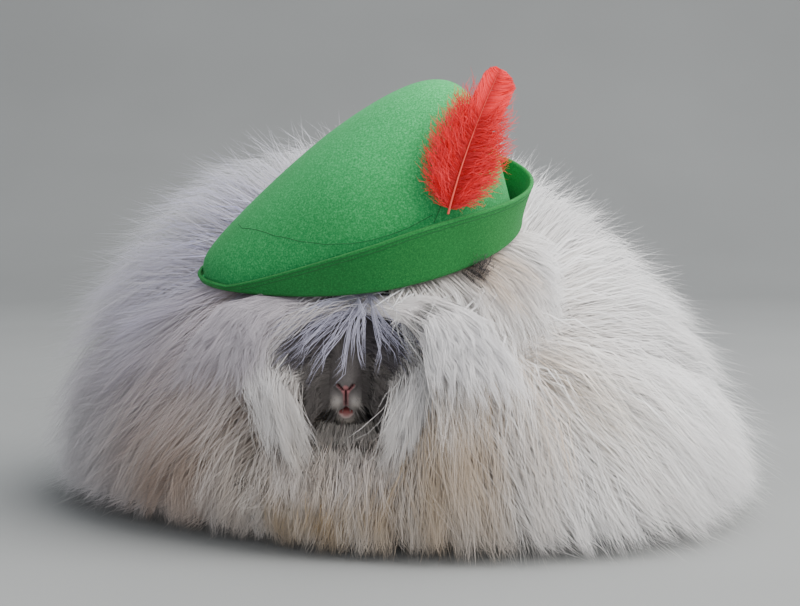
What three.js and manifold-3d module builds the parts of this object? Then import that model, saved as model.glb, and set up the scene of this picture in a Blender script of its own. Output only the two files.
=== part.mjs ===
// An English angora rabbit in full coat, sitting, in a green felt hat with a red feather.
// Millimetres. +X is the rabbit's left side, -Y is the way it looks, +Z is up, the floor is z = 0.
import * as THREE from 'three';
import { mergeVertices } from 'three/addons/utils/BufferGeometryUtils.js';
import Module from 'manifold-3d';

const wasm = await Module();
wasm.setup();

const { cos, sin, abs, sign, hypot, atan2, sqrt, exp, min, max, PI } = Math;
const { lerp, clamp, degToRad, radToDeg } = THREE.MathUtils;
const vec = (x = 0, y = 0, z = 0) => new THREE.Vector3(x, y, z);

// Driving dimensions.
const GAP = 0.3;                       // clearance between pieces that touch
const FAR = 700;                       // longer than the rabbit
const SMALLEST = 0.04;                 // steps in a surface finer than this are smoothed out

const COAT = {
  centre: vec(4, 30, 0),
  long: 272,                           // half length of the outline of the coat on the floor
  wide: 222,                           // half width of that outline
  turn: degToRad(-31.4),
  top: 267,
  hem: 45,                             // height of the widest place
  tucks: [                             // where the hem turns in at the floor, and by what share of its width
    { share: 0.24, at: degToRad(-133), spread: degToRad(45) },
    { share: 0.11, at: degToRad(-22), spread: degToRad(20) },
  ],
  right: { rise: 2.3, round: 2.2 },    // the rabbit's right flank is the squarer one
  left: { rise: 1.6, round: 1.85 },
};
const CORE_SHARE = 0.5;                // how far the dense wool reaches, from the skin, 0, to the tips, 1
const CORE_FLOOR = 18;                 // the dense wool ends this far above the floor

const BODY = {
  centre: vec(15, 45, 88),
  half: vec(72, 120, 70),
  yaw: degToRad(20),                   // the rump lies to the back and to the rabbit's left
  middle: vec(12, 40, 45),
};
const HEAD_FROM = -100;                // along the trunk: the head lies before this
const HEAD_SIDE = 80;                  // and no further than this to either side
const NECK_FROM = -45;                 // along the trunk: chest and neck lie before this
const RUMP_FROM = 60;                  // along the trunk: the rump lies behind this
const NECK_FLOOR = 68;                 // head and neck lie above this height, the chest below

// The locks of the coat. Angles are seen from the middle of the body.
const LOCK = {
  count: 116,                          // places spread evenly over the coat, hat and face included
  low: -0.03,                          // sine of the angle of the lowest roots
  golden: degToRad(137.508),           // turn from one root to the next
  wide: 48,
  thick: 9,
  sunk: 7,                             // depth of the root in the dense wool
  reach: 25,                           // degrees from the root to the tip
  under: 11,                           // degrees by which the lowest tips lie under level
  bend: 0.36,                          // share of that way at which the bend lies
  steps: 3,
  floor: 2.5,                          // lowest a tip comes
  arch: 1.02,                          // share of the depth at which the bend lies
  fuzz: 0.08,                          // share of the depth by which tips may stand proud
  lowAngle: 24,                        // locks rooted lower than this lie closer in
  lowArch: 0.12,                       // by so much of the depth at the bend
  lowTip: 0.1,                         // and at the tip
  lift: 5,                             // how far tips on the floor may lie above the lowest ones
  lean: 0.3,
  vary: 0.1,
  twist: 0.15,
  sway: 10,                            // degrees by which neighbours differ in their way
  flows: [0, 30, -30, 60, -60, 90, -90],   // turns tried in this order where hat or face is in the way
  hatRoom: 9,                          // distance that locks keep from the space of the hat
  faceRoom: 20,                        // and from the hollow before the face
  checked: [0.35, 0.6, 0.8, 1],        // places along a lock that are tried
  crest: { count: 6, from: degToRad(12), to: degToRad(168), off: 18 },   // round the back of the hat
  backward: 0.6,                       // how far the coat lies to the rump rather than down
};

const HEAD = {
  place: vec(-34, -74, 122),
  pitch: degToRad(16),
  eye: vec(23.5, -9, 7),
  eyeRadius: 8.2,
  focus: 0.55,                         // how much closer the mesh is at the nose
};

const EAR = {
  halfWidth: 17,
  cup: 9,
  thick: 1.3,
  facing: vec(0, -0.35, -0.94),         // the cup looks down and forward
  left: { root: vec(-17, -58, 143), tip: vec(56, -80, 166) },
  right: { root: vec(-51, -58, 141), tip: vec(-120, -76, 132) },
};

const EAR_ROOM = 3;                    // clearance of an ear, lying free in the wool
const TIP_ROOM = 0.25;                 // added to the clearance of locks, which is least at their tips

const HAT = {
  place: vec(-15, -62, 187),
  roll: degToRad(-10.5),               // the beak hangs lower than the back
  tip: degToRad(20),                   // the near side hangs lower than the far side
  yaw: degToRad(3),
  front: 118,
  back: 96,
  halfWidth: 72,
  pinch: 0.32,                         // how far the sides draw in towards the beak
  ridge: [[-114, -1], [-103, 20], [-16, 77], [50, 101], [80, 76], [91, -1]],
  arch: 0.85,
  edge: 1,                             // the crown and the fold end this far below z = 0
  hollow: 8,                           // the inside of the crown is cut this far below it
  felt: 2.5,
  fold: 3.5,                           // from the fold of the cuff in to the crown
  seam: 0.9,                           // clearance between cuff and crown
};
// The wool of the head under the crown: its distance from the felt and how deep it is rooted.
const TOPKNOT = { inset: 10, sunk: 25, lip: 6 };

const CUFF = {
  from: -0.85,                         // the cuff starts at this cosine of the turn from the back
  low: 2,
  high: 33,
  peak: 0.74,
  flareFront: 0.5,
  flareBack: 11,
};

const FEATHER = {
  base: vec(30, -139, 212),
  bend: vec(40, -141, 252),
  tip: vec(62, -118, 298),
  facing: vec(0.25, -0.92, 0.3).normalize(),
  halfWidth: 25,                       // out to the tips of the loose barbs
  halfVane: 9,
  halfTip: 14,
  thick: 1.4,
  barbs: { eachSide: 8, from: 0.04, to: 0.62, swell: [0.3, 0.85], vary: 0.12, wide: 8, steps: 2 },
  barbRoot: { along: 0, share: 0.1, out: -1 },
  barbBend: { along: 0.04, share: 0.7, out: 1 },
  barbTip: { along: 0.2, share: 1, out: 2 },
};

// The locks of the head in fans. Each has the places of root, bend and tip of its first and last lock.
// Only x is measured from the middle of the head.
const FANS = {
  bangs: {
    count: 8,
    wide: 10,
    thick: 3,
    first: [vec(-24, -102, 150), vec(-35, -140, 150), vec(-52, -140, 116)],
    last: [vec(24, -102, 152), vec(35, -140, 152), vec(52, -140, 118)],
  },
  cheek: {
    count: 3,
    wide: 23,
    thick: 5,
    first: [vec(32, -92, 132), vec(66, -142, 138), vec(66, -166, 82)],
    last: [vec(34, -92, 104), vec(56, -150, 104), vec(40, -176, 50)],
  },
  jaw: {
    count: 2,
    wide: 16,
    thick: 5,
    first: [vec(36, -96, 92), vec(46, -142, 88), vec(33, -164, 42)],
    last: [vec(20, -96, 86), vec(28, -142, 78), vec(20, -166, 34)],
  },
  bib: {
    count: 5,
    wide: 19,
    thick: 6,
    first: [vec(-32, -106, 54), vec(-36, -156, 68), vec(-38, -182, 24)],
    last: [vec(32, -106, 54), vec(36, -156, 68), vec(38, -182, 24)],
  },
};

// The locks that come out from under the near side of the hat. Turns are round the hat.
const TEMPLE = {
  count: 11,
  from: degToRad(-166),
  to: degToRad(-8),
  parting: 34,                         // no such lock comes this near the middle of the face
  rootInset: 26,
  bulge: 9,
  low: 9,
  spread: 20,
  drop: 62,
  wide: 27,
  thick: 6,
};

const FOOT = {
  sole: 8,                             // height cut off a round foot to make its flat sole
  hindleg: { half: vec(15, 48, 26), across: 62, along: 58 },
  foreleg: { half: vec(12, 27, 26), across: 27, along: -96 },
};

// The tail and its rows of locks. Places are outward, sideways and up, with what each row adds to them.
const TAIL = {
  half: vec(24, 32, 22),
  along: 160,
  height: 88,
  rows: [2, 3, 2],
  wide: 26,
  thick: 7,
  root: { at: vec(4, 9, 8), add: vec(0, 0, -8) },
  bend: { at: vec(46, 22, 26), add: vec(6, 0, -14) },
  tip: { at: vec(50, 30, -26), add: vec(9, 0, -12) },
  stray: 4,
};

// The longer hair at the tip of an ear, in locks side by side.
const TASSEL = {
  root: -14,                           // root, bend and tip along the ear from its end
  bend: 8,
  tip: 20,
  lift: vec(0, -4, 1),
  fall: vec(0, -8, -20),
  spread: 8,
  drop: 5,
  out: vec(0, -0.6, 0.8),
  wide: 9,
  thick: 2.5,
};

// Facets of the round forms: round them and from end to end.
const FACETS = {
  core: [26, 14],
  window: 18,
  head: [24, 20],
  eye: [14, 9],
  lid: [5, 14],
  nostril: [8, 6],
  opening: [10, 8],
  lips: [4, 18],
  ear: 10,
  earSpace: 8,
  crown: [24, 16],
  topknot: [16, 10],
  cuff: 40,
  hatSpace: 12,
  vane: [8, 10],
  foot: [14, 12],
  tail: [12, 8],
};

// Half width, foot and height of the three-sided cone that a lock is bent from.
const CONE = { half: 0.866, foot: 0.5, high: 1.5 };

const COLOURS = {
  wool: 0xc9c4c4,
  face: 0x5a5552,
  eye: 0x2a1a14,
  felt: 0x4a9a62,
  feather: 0xe0443c,
};

// Solids from geometries, and back.
function solidOf(geometry) {
  const bare = geometry.clone();
  bare.deleteAttribute('normal');
  bare.deleteAttribute('uv');
  const merged = mergeVertices(bare, 1e-3);
  return new wasm.Manifold(new wasm.Mesh({
    numProp: 3,
    vertProperties: new Float32Array(merged.attributes.position.array),
    triVerts: new Uint32Array(merged.index.array),
  }));
}

const union = (solids) => wasm.Manifold.union(solids);

function geometryOf(solid) {
  const mesh = solid.getMesh();
  const geometry = new THREE.BufferGeometry();
  geometry.setAttribute('position', new THREE.BufferAttribute(mesh.vertProperties, 3));
  geometry.setIndex(new THREE.BufferAttribute(mesh.triVerts, 1));
  geometry.computeVertexNormals();
  return geometry;
}

function largest(solid) {
  return solid.decompose().reduce((best, piece) => (piece.volume() > best.volume() ? piece : best));
}

// A geometry with each point moved by a function.
function mapped(geometry, move) {
  const position = geometry.attributes.position;
  const point = vec();
  for (let i = 0; i < position.count; i += 1) {
    move(point.fromBufferAttribute(position, i));
    position.setXYZ(i, point.x, point.y, point.z);
  }
  return geometry;
}

function placed(geometry, matrix) {
  return solidOf(geometry.applyMatrix4(matrix));
}

// A closed surface whose points lie at reach(direction) from a centre.
function starGeometry(around, levels, centre, reach) {
  return mapped(new THREE.SphereGeometry(1, around, levels).rotateX(PI / 2), (p) => {
    p.normalize();
    p.multiplyScalar(reach(p)).add(centre);
  });
}

function reachOf(inside, centre, limit) {
  const point = vec();
  return (direction) => {
    let low = 0;
    let high = limit;
    for (let step = 0; step < 26; step += 1) {
      const middle = (low + high) / 2;
      point.copy(direction).multiplyScalar(middle).add(centre);
      if (inside(point)) low = middle;
      else high = middle;
    }
    return low;
  };
}

const angleBetween = (a, b) => Math.acos(cos(a - b));

// The share by which the hem turns in at the floor.
function tuckAt(theta) {
  let share = 0;
  for (const tuck of COAT.tucks) {
    share += tuck.share * exp(-((angleBetween(theta, tuck.at) / tuck.spread) ** 2));
  }
  return share;
}

// The outer surface of the coat.
function coatRadius(theta, z) {
  const side = (1 + cos(theta)) / 2;
  const rise = lerp(COAT.right.rise, COAT.left.rise, side);
  const round = lerp(COAT.right.round, COAT.left.round, side);
  const turned = theta - COAT.turn;
  const outline = 1 / hypot(cos(turned) / COAT.long, sin(turned) / COAT.wide);
  const level = clamp(z / COAT.top, 0, 1);
  const below = clamp(1 - z / COAT.hem, 0, 1);
  return outline * (1 - level ** rise) ** (1 / round) * (1 - tuckAt(theta) * below * below);
}

function insideCoat(p) {
  const x = p.x - COAT.centre.x;
  const y = p.y - COAT.centre.y;
  return p.z > 0 && p.z < COAT.top && hypot(x, y) < coatRadius(atan2(y, x), p.z);
}

// Places on the trunk: along runs to the rump, across to the rabbit's left.
const ALONG = vec(sin(BODY.yaw), cos(BODY.yaw), 0);
const ACROSS = vec(cos(BODY.yaw), -sin(BODY.yaw), 0);

function insideTrunk(p) {
  const from = p.clone().sub(BODY.centre);
  return hypot(from.dot(ACROSS) / BODY.half.x, from.dot(ALONG) / BODY.half.y, from.z / BODY.half.z) < 1;
}

const TRUNK_TURN = new THREE.Matrix4()
  .makeBasis(ACROSS, ALONG, vec(0, 0, 1))
  .setPosition(BODY.centre.x, BODY.centre.y, 0);

// A box given by its limits across, along and up the trunk.
function trunkBox(low, high, grow = 0) {
  const size = high.clone().sub(low).addScalar(2 * grow);
  const middle = high.clone().add(low).multiplyScalar(0.5);
  return placed(new THREE.BoxGeometry(...size.toArray()).translate(...middle.toArray()), TRUNK_TURN);
}

// Everything above a height.
function above(z) {
  return trunkBox(vec(-FAR, -FAR, z), vec(FAR, FAR, FAR));
}

const reachCoat = reachOf(insideCoat, BODY.middle, FAR);
const reachTrunk = reachOf(insideTrunk, BODY.middle, FAR);

const reachCore = (direction) => lerp(reachTrunk(direction), reachCoat(direction), CORE_SHARE);

function makeCore(grow = 0) {
  const [around, levels] = FACETS.core;
  const whole = solidOf(starGeometry(around, levels, BODY.middle, (way) => reachCore(way) + grow));
  return whole.intersect(above(CORE_FLOOR - grow));
}

// A seeded random number from 0 to 1, and one from -1 to 1.
let seed = 37;
function random() {
  seed = (seed * 16807) % 2147483647;
  return seed / 2147483647;
}
const swing = () => 2 * random() - 1;

// One lock: a flat blade with a ridge, bent from root to tip and tapered to a point.
function lockForm(lock, grow = 0) {
  const { root, bend, tip, out, wide, thick, twist = 0, steps = LOCK.steps } = lock;
  const path = new THREE.QuadraticBezierCurve3(root, bend, tip);
  const side = tip.clone().sub(root).cross(out).normalize();
  side.applyAxisAngle(tip.clone().sub(bend).normalize(), twist);
  const ahead = tip.clone().sub(path.getPoint(1 - 1 / steps)).normalize();
  return solidOf(mapped(new THREE.ConeGeometry(1, 1, 3, steps), (p) => {
    const t = p.y + 0.5;
    const left = max(1 - t, 1e-6);
    const along = path.getTangent(t);
    const up = vec().crossVectors(side, along).normalize();
    const ridge = thick * (1 - t * t);
    const blade = wide / 2 * (1 - t ** 3) * (0.6 + 0.4 * min(1, t / 0.3));
    const slant = (ridge + 2 * grow) / (ridge + grow + 1e-6);
    const atTip = t > 0.999;
    const across = atTip ? 0 : (p.x / left / CONE.half) * (blade + grow) * slant;
    const high = atTip ? 0 : ((p.z / left + CONE.foot) / CONE.high) * (ridge + 2 * grow) - grow;
    p.copy(path.getPoint(t)).addScaledVector(side, across).addScaledVector(up, high);
    if (atTip) p.addScaledVector(ahead, 4 * grow);
    if (t < 0.001) p.addScaledVector(along, -grow);
  }));
}

// The lie of the coat for hair that grows one way out of the body: to the rump on the back, then down.
const LIE = ALONG.clone().multiplyScalar(LOCK.backward).sub(vec(0, 0, 1));

function lieOf(way, flow) {
  return LIE.clone().projectOnPlane(way).normalize().applyAxisAngle(way, flow);
}

// A place in the coat, some degrees along the lie. Share 0 is on the dense wool and 1 at the tips.
function coatPlace(way, lie, degrees, share, depth = 0) {
  const there = way.clone().applyAxisAngle(way.clone().cross(lie), degToRad(degrees));
  const place = there.multiplyScalar(lerp(reachCore(there), reachCoat(there), share) - depth);
  place.add(BODY.middle);
  place.z = max(place.z, LOCK.floor);
  return place;
}

function coatLock(way, flow) {
  const lie = lieOf(way, flow);
  const height = radToDeg(Math.asin(way.z));
  const low = clamp(1 - height / LOCK.lowAngle, 0, 1);
  const reach = min(LOCK.reach, height + LOCK.under) * (1 + LOCK.vary * swing());
  const root = coatPlace(way, lie, 0, 0, LOCK.sunk);
  const bend = coatPlace(way, lie, LOCK.bend * reach, LOCK.arch - LOCK.lowArch * low);
  const tip = coatPlace(way, lie, reach, 1 + LOCK.fuzz * random() - LOCK.lowTip * low * random());
  tip.z = max(tip.z, LOCK.floor + LOCK.lift * random());
  const out = way.clone().addScaledVector(lie, LOCK.lean);
  const size = 1 + LOCK.vary * swing();
  const twist = LOCK.twist * swing();
  return { root, bend, tip, out, wide: LOCK.wide * size, thick: LOCK.thick * size, twist };
}

// The hollow in the wool through which the face looks out.
const FACE = { middle: vec(-34, -150, 103), near: 52, deep: 31, length: 170 };

function faceWindow(grow = 0) {
  const hollow = new THREE.CylinderGeometry(FACE.deep + grow, FACE.near + grow, FACE.length, FACETS.window);
  return placed(hollow, new THREE.Matrix4().setPosition(FACE.middle));
}

// The head, in its own frame: the nose looks along -Y, z is up, the middle of the skull is 0.
const SKULL = [
  { at: vec(0, 8, 6), half: vec(26, 34, 25) },
  { at: vec(0, -14, 2), half: vec(20, 28, 20) },
  { at: vec(15, -6, -11), half: vec(14, 24, 18), pair: true },
  { at: vec(0, -34, -9), half: vec(13, 16, 15) },
  { at: vec(6.5, -42, -18), half: vec(7.5, 8, 9), pair: true },
  { at: vec(0, -46, -6), half: vec(5.5, 5.5, 4.5) },
  { at: vec(0, -34, -31), half: vec(11, 13, 9) },
  { at: vec(18, -8, 13), half: vec(7, 11, 5), pair: true },
];
const SKULL_BLEND = 5;
const LID = { inset: 0.6, thick: 1.9, flat: 0.82, turn: 0.3, out: 4.2, ahead: 1.2 };
const NOSTRIL = { at: vec(3.4, -51, -6.2), half: vec(2.6, 4, 0.9), slant: 0.55, turn: 0.25 };
const CLEFT = { at: vec(0, -49.5, -17.5), size: vec(0.9, 8, 16) };
const OPENING = { at: vec(0, -44, -28.2), half: vec(5.2, 9, 3) };
const LIPS = { at: vec(0, -31, -27.5), radius: 14, thick: 0.8 };

function lumpField(p, lump, side) {
  const x = (p.x - side * lump.at.x) / lump.half.x;
  const y = (p.y - lump.at.y) / lump.half.y;
  const z = (p.z - lump.at.z) / lump.half.z;
  return exp(SKULL_BLEND * (1 - hypot(x, y, z)));
}

function insideHead(p) {
  let field = 0;
  for (const lump of SKULL) {
    field += lumpField(p, lump, 1);
    if (lump.pair) field += lumpField(p, lump, -1);
  }
  return field > 1;
}

const reachHead = reachOf(insideHead, vec(), 120);
const HEAD_TURN = new THREE.Matrix4().makeRotationX(HEAD.pitch).setPosition(HEAD.place);

// The rings of the mesh run round the muzzle and lie closest at the nose.
function headForm(grow) {
  const shape = mapped(new THREE.SphereGeometry(1, ...FACETS.head).rotateX(PI), (p) => {
    const angle = Math.acos(clamp(-p.y, -1, 1));
    const nearer = angle * lerp(HEAD.focus, 1, angle / PI);
    const flat = hypot(p.x, p.z) || 1;
    const way = vec(sin(nearer) * p.x / flat, -cos(nearer), sin(nearer) * p.z / flat).normalize();
    p.copy(way).multiplyScalar(reachHead(way) + grow);
  });
  return placed(shape, HEAD_TURN);
}

function eyeball(side, grow) {
  const ball = new THREE.SphereGeometry(HEAD.eyeRadius + grow, ...FACETS.eye)
    .translate(side * HEAD.eye.x, HEAD.eye.y, HEAD.eye.z);
  return placed(ball, HEAD_TURN);
}

function eyelids(side) {
  const ring = new THREE.TorusGeometry(HEAD.eyeRadius - LID.inset, LID.thick, ...FACETS.lid)
    .scale(1, LID.flat, 1)
    .rotateY(side * PI / 2)
    .rotateZ(-side * LID.turn)
    .translate(side * (HEAD.eye.x + LID.out), HEAD.eye.y - LID.ahead, HEAD.eye.z);
  return placed(ring, HEAD_TURN);
}

function nostril(side) {
  const slit = new THREE.SphereGeometry(1, ...FACETS.nostril)
    .scale(...NOSTRIL.half.toArray())
    .rotateY(-side * NOSTRIL.slant)
    .rotateZ(side * NOSTRIL.turn)
    .translate(side * NOSTRIL.at.x, NOSTRIL.at.y, NOSTRIL.at.z);
  return placed(slit, HEAD_TURN);
}

function mouth() {
  const cleft = new THREE.BoxGeometry(...CLEFT.size.toArray()).translate(...CLEFT.at.toArray());
  const opening = new THREE.SphereGeometry(1, ...FACETS.opening)
    .scale(...OPENING.half.toArray())
    .translate(...OPENING.at.toArray());
  const lips = new THREE.TorusGeometry(LIPS.radius, LIPS.thick, ...FACETS.lips)
    .translate(...LIPS.at.toArray());
  return placed(cleft, HEAD_TURN).add(placed(opening, HEAD_TURN)).add(placed(lips, HEAD_TURN));
}

// The skull and its wool are one body, with the eyes, nostrils and mouth cut in.
function makeHead(wool, locks) {
  const skull = headForm(0).intersect(territory('head', 0));
  let head = union([skull, wool, headCap(0).subtract(earSpace()), locks]);
  for (const side of [-1, 1]) {
    head = head.add(eyelids(side)).subtract(eyeball(side, GAP)).subtract(nostril(side));
  }
  return head.subtract(mouth());
}

// An ear is a leaf rolled to a cup, laid out sideways under the hat.
function earForm(name, grow = 0, facets = FACETS.ear) {
  const { root, tip } = EAR[name];
  const along = tip.clone().sub(root);
  const length = along.length();
  along.normalize();
  const across = vec().crossVectors(along, EAR.facing).normalize();
  const out = vec().crossVectors(across, along);
  const turn = new THREE.Matrix4().makeBasis(across, along, out).setPosition(root);
  const leaf = mapped(new THREE.SphereGeometry(1, facets, facets), (p) => {
    const t = (1 + p.y) / 2;
    const rim = sqrt(max(0, 1 - p.y * p.y));
    const side = rim > 1e-4 ? p.x / rim : 0;
    const facing = rim > 1e-4 ? p.z / rim : 0;
    const shape = 0.45 + 0.55 * sin(PI * clamp(t * 0.85 + 0.1, 0, 1));
    const wide = (EAR.halfWidth * shape + grow) * min(1, rim * 1.6);
    const deep = EAR.cup * (1 - 0.55 * t) * (side * wide / EAR.halfWidth) ** 2;
    const thick = (EAR.thick + grow) * sign(facing) * sqrt(abs(facing)) * min(1, rim * 1.5);
    p.set(side * wide, lerp(-grow, length + grow, t), deep + thick);
  });
  return placed(leaf, turn);
}

// The hat, in its own frame: the beak looks along -X, z is up, the fold of the brim is near z = 0.
const HAT_TURN = new THREE.Matrix4()
  .makeRotationFromEuler(new THREE.Euler(HAT.tip, HAT.roll, HAT.yaw, 'ZYX'))
  .setPosition(HAT.place);

function hatOutline(turn, inset) {
  const c = cos(turn);
  const reach = c < 0 ? HAT.front : HAT.back;
  const beak = c < 0 ? 1 - HAT.pinch * abs(c) ** 1.5 : 1;
  return vec((reach - inset) * c, (HAT.halfWidth - inset) * sin(turn) * beak, 0);
}

function hatHalfWidth(x, inset) {
  const reach = (x < 0 ? HAT.front : HAT.back) - inset;
  return max(hatOutline(Math.acos(clamp(x / reach, -1, 1)), inset).y, 0);
}

// The crown follows its ridge from the beak over the top to the back, an arch at each step.
function crownForm(inset, below = HAT.edge, facets = FACETS.crown) {
  const ridge = new THREE.SplineCurve(HAT.ridge.map(([x, z]) => new THREE.Vector2(x, z)));
  const middle = (HAT.back - HAT.front) / 2;
  const half = (HAT.back + HAT.front) / 2;
  const shell = mapped(new THREE.SphereGeometry(1, ...facets).rotateZ(-PI / 2), (p) => {
    const round = max(hypot(p.y, p.z), 1e-6);
    const up = p.z / round;
    const point = ridge.getPoint(clamp((1 + p.x) / 2, 0, 1));
    const x = middle + (point.x - middle) * (1 - inset / half);
    const wide = hatHalfWidth(x, inset + HAT.fold);
    const high = max(point.y - inset, -HAT.edge);
    p.set(x, wide * p.y / round, up > 1e-6 ? high * up ** HAT.arch : -below);
  });
  return placed(shell, HAT_TURN);
}

// The turned-up cuff of the hat is a ring of felt with a fold below and a flared edge above.
function cuffForm(grow = 0) {
  const corners = [[1, 0], [2, 0], [2, 1], [1, 1], [1, 0]].map(([x, y]) => new THREE.Vector2(x, y));
  const ring = mapped(new THREE.LatheGeometry(corners, FACETS.cuff).rotateX(PI / 2), (p) => {
    const turn = atan2(p.y, p.x);
    const outer = hypot(p.x, p.y) > 1.5;
    const top = p.z > 0.5;
    const back = max(0, (cos(turn) - CUFF.from) / (1 - CUFF.from));
    const rise = CUFF.low + CUFF.high * sin(PI * CUFF.peak * back);
    const flare = top ? lerp(CUFF.flareFront, CUFF.flareBack, back ** 3) : 0;
    const out = outer ? HAT.felt + grow : -grow;
    const edge = hatOutline(turn, HAT.fold - HAT.seam - out - flare);
    p.set(edge.x, edge.y, top ? rise + grow : -HAT.edge - grow);
  });
  return placed(ring, HAT_TURN);
}

// The feather stands against the crown above the cuff: a vane along its quill, and loose barbs.
function featherPlace(t, sideways, out = 0) {
  const path = new THREE.QuadraticBezierCurve3(FEATHER.base, FEATHER.bend, FEATHER.tip);
  const across = vec().crossVectors(path.getTangent(t), FEATHER.facing).normalize();
  return path.getPoint(t).addScaledVector(across, sideways).addScaledVector(FEATHER.facing, out);
}

function featherForm() {
  const vane = solidOf(mapped(new THREE.SphereGeometry(1, ...FACETS.vane), (p) => {
    const t = (1 + p.y) / 2;
    const wide = lerp(FEATHER.halfVane, FEATHER.halfTip, clamp(2 * t - 1, 0, 1));
    p.copy(featherPlace(t, p.x * wide, p.z * FEATHER.thick));
  }));
  const { eachSide, from, to, swell, vary, wide, steps } = FEATHER.barbs;
  const barbs = [];
  for (const side of [-1, 1]) {
    for (let i = 0; i < eachSide; i += 1) {
      const t = lerp(from, to, i / (eachSide - 1));
      const reach = FEATHER.halfWidth * sin(PI * lerp(...swell, i / eachSide)) * (1 + vary * swing());
      const place = ({ along, share, out }, stray = 1) => (
        featherPlace(t + along, side * reach * share, out * stray));
      barbs.push({
        root: place(FEATHER.barbRoot),
        bend: place(FEATHER.barbBend),
        tip: place(FEATHER.barbTip, swing()),
        out: FEATHER.facing,
        wide,
        thick: FEATHER.thick,
        steps,
      });
    }
  }
  return union([vane, fuse(barbs)]);
}

// The feet stand on the floor under the wool, on flat soles.
function footForm(kind, side, grow = 0) {
  const foot = FOOT[kind];
  const shape = new THREE.SphereGeometry(1, ...FACETS.foot)
    .scale(foot.half.x + grow, foot.half.y + grow, foot.half.z + grow)
    .translate(side * foot.across, foot.along, foot.half.z - FOOT.sole);
  return placed(shape, TRUNK_TURN).intersect(above(0));
}

function tailForm(grow = 0) {
  const shape = new THREE.SphereGeometry(1, ...FACETS.tail)
    .scale(TAIL.half.x + grow, TAIL.half.y + grow, TAIL.half.z + grow)
    .translate(0, TAIL.along, TAIL.height);
  return placed(shape, TRUNK_TURN);
}

// The regions that share out the dense wool, in the order in which they take their piece.
const REGIONS = [
  ['head', vec(-HEAD_SIDE, -FAR, NECK_FLOOR), vec(HEAD_SIDE, HEAD_FROM, FAR)],
  ['hindleg_left', vec(30, 0, 0), vec(FAR, 130, 82)],
  ['hindleg_right', vec(-FAR, 0, 0), vec(-30, 130, 82)],
  ['foreleg_left', vec(6, -FAR, 0), vec(86, NECK_FROM, 60)],
  ['foreleg_right', vec(-86, -FAR, 0), vec(-6, NECK_FROM, 60)],
  ['rump', vec(-FAR, RUMP_FROM, 0), vec(FAR, FAR, FAR)],
  ['neck', vec(-FAR, -FAR, NECK_FLOOR), vec(FAR, NECK_FROM, FAR)],
  ['chest', vec(-FAR, -FAR, 0), vec(FAR, NECK_FROM, NECK_FLOOR)],
  ['torso', vec(-FAR, -FAR, 0), vec(FAR, FAR, FAR)],
];

function regionOf(place) {
  const from = place.clone().sub(vec(BODY.centre.x, BODY.centre.y, 0));
  const at = vec(from.dot(ACROSS), from.dot(ALONG), from.z);
  return REGIONS.find(([, low, high]) => new THREE.Box3(low, high).containsPoint(at))[0];
}

// A region without the ones that come before it in the list.
function territory(name, gap) {
  const index = REGIONS.findIndex((region) => region[0] === name);
  const [, low, high] = REGIONS[index];
  const earlier = REGIONS.slice(0, index).map((region) => trunkBox(region[1], region[2], gap));
  return earlier.reduce((rest, other) => rest.subtract(other), trunkBox(low, high));
}

// The space of the hat and all that is above it and before it, where no wool of the trunk stands.
function hatSpace(grow) {
  const outline = new THREE.Shape();
  outline.moveTo(HAT.back + grow, -FAR);
  for (let step = 0; step <= FACETS.hatSpace; step += 1) {
    const edge = hatOutline(PI * step / FACETS.hatSpace, -grow);
    outline.lineTo(edge.x, edge.y);
  }
  outline.lineTo(-HAT.front - grow, -FAR);
  const space = new THREE.ExtrudeGeometry(outline, { depth: FAR, bevelEnabled: false });
  return placed(space.translate(0, 0, -HAT.edge - GAP), HAT_TURN);
}

const INTO_HAT = HAT_TURN.clone().invert();

function inHatSpace(place, room) {
  const at = place.clone().applyMatrix4(INTO_HAT);
  const beyond = at.x > HAT.back + room || at.x < -HAT.front - room;
  return at.z > -room && !beyond && at.y < hatHalfWidth(at.x, -room);
}

function inFaceWindow(place, room) {
  const from = place.clone().sub(FACE.middle);
  const radius = lerp(FACE.near, FACE.deep, clamp(from.y / FACE.length + 0.5, 0, 1));
  return abs(from.y) < FACE.length / 2 && hypot(from.x, from.z) < radius + room;
}

// Where the plain lie would lead into the hat or over the face, the lock turns aside.
function freeLock(way) {
  for (const flow of LOCK.flows) {
    const lock = coatLock(way, degToRad(flow + LOCK.sway * swing()));
    const path = new THREE.QuadraticBezierCurve3(lock.root, lock.bend, lock.tip);
    const blocked = LOCK.checked.some((t) => {
      const place = path.getPoint(t);
      return inHatSpace(place, LOCK.hatRoom) || inFaceWindow(place, LOCK.faceRoom);
    });
    if (!blocked) return lock;
  }
  return null;
}

function coatLocks() {
  const locks = Object.fromEntries(REGIONS.map(([name]) => [name, []]));
  const ways = [];
  for (let i = 0; i < LOCK.count; i += 1) {
    const up = lerp(1, LOCK.low, (i + 0.5) / LOCK.count);
    const turn = LOCK.golden * i + 0.05 * swing();
    const level = sqrt(1 - up * up);
    ways.push(vec(level * cos(turn), level * sin(turn), up));
  }
  for (let i = 0; i < LOCK.crest.count; i += 1) {
    const turn = lerp(LOCK.crest.from, LOCK.crest.to, i / (LOCK.crest.count - 1));
    ways.push(hatOutline(turn, -LOCK.crest.off).applyMatrix4(HAT_TURN).sub(BODY.middle).normalize());
  }
  for (const lock of ways.map(freeLock)) {
    if (lock) locks[regionOf(lock.root)].push(lock);
  }
  return locks;
}

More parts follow.
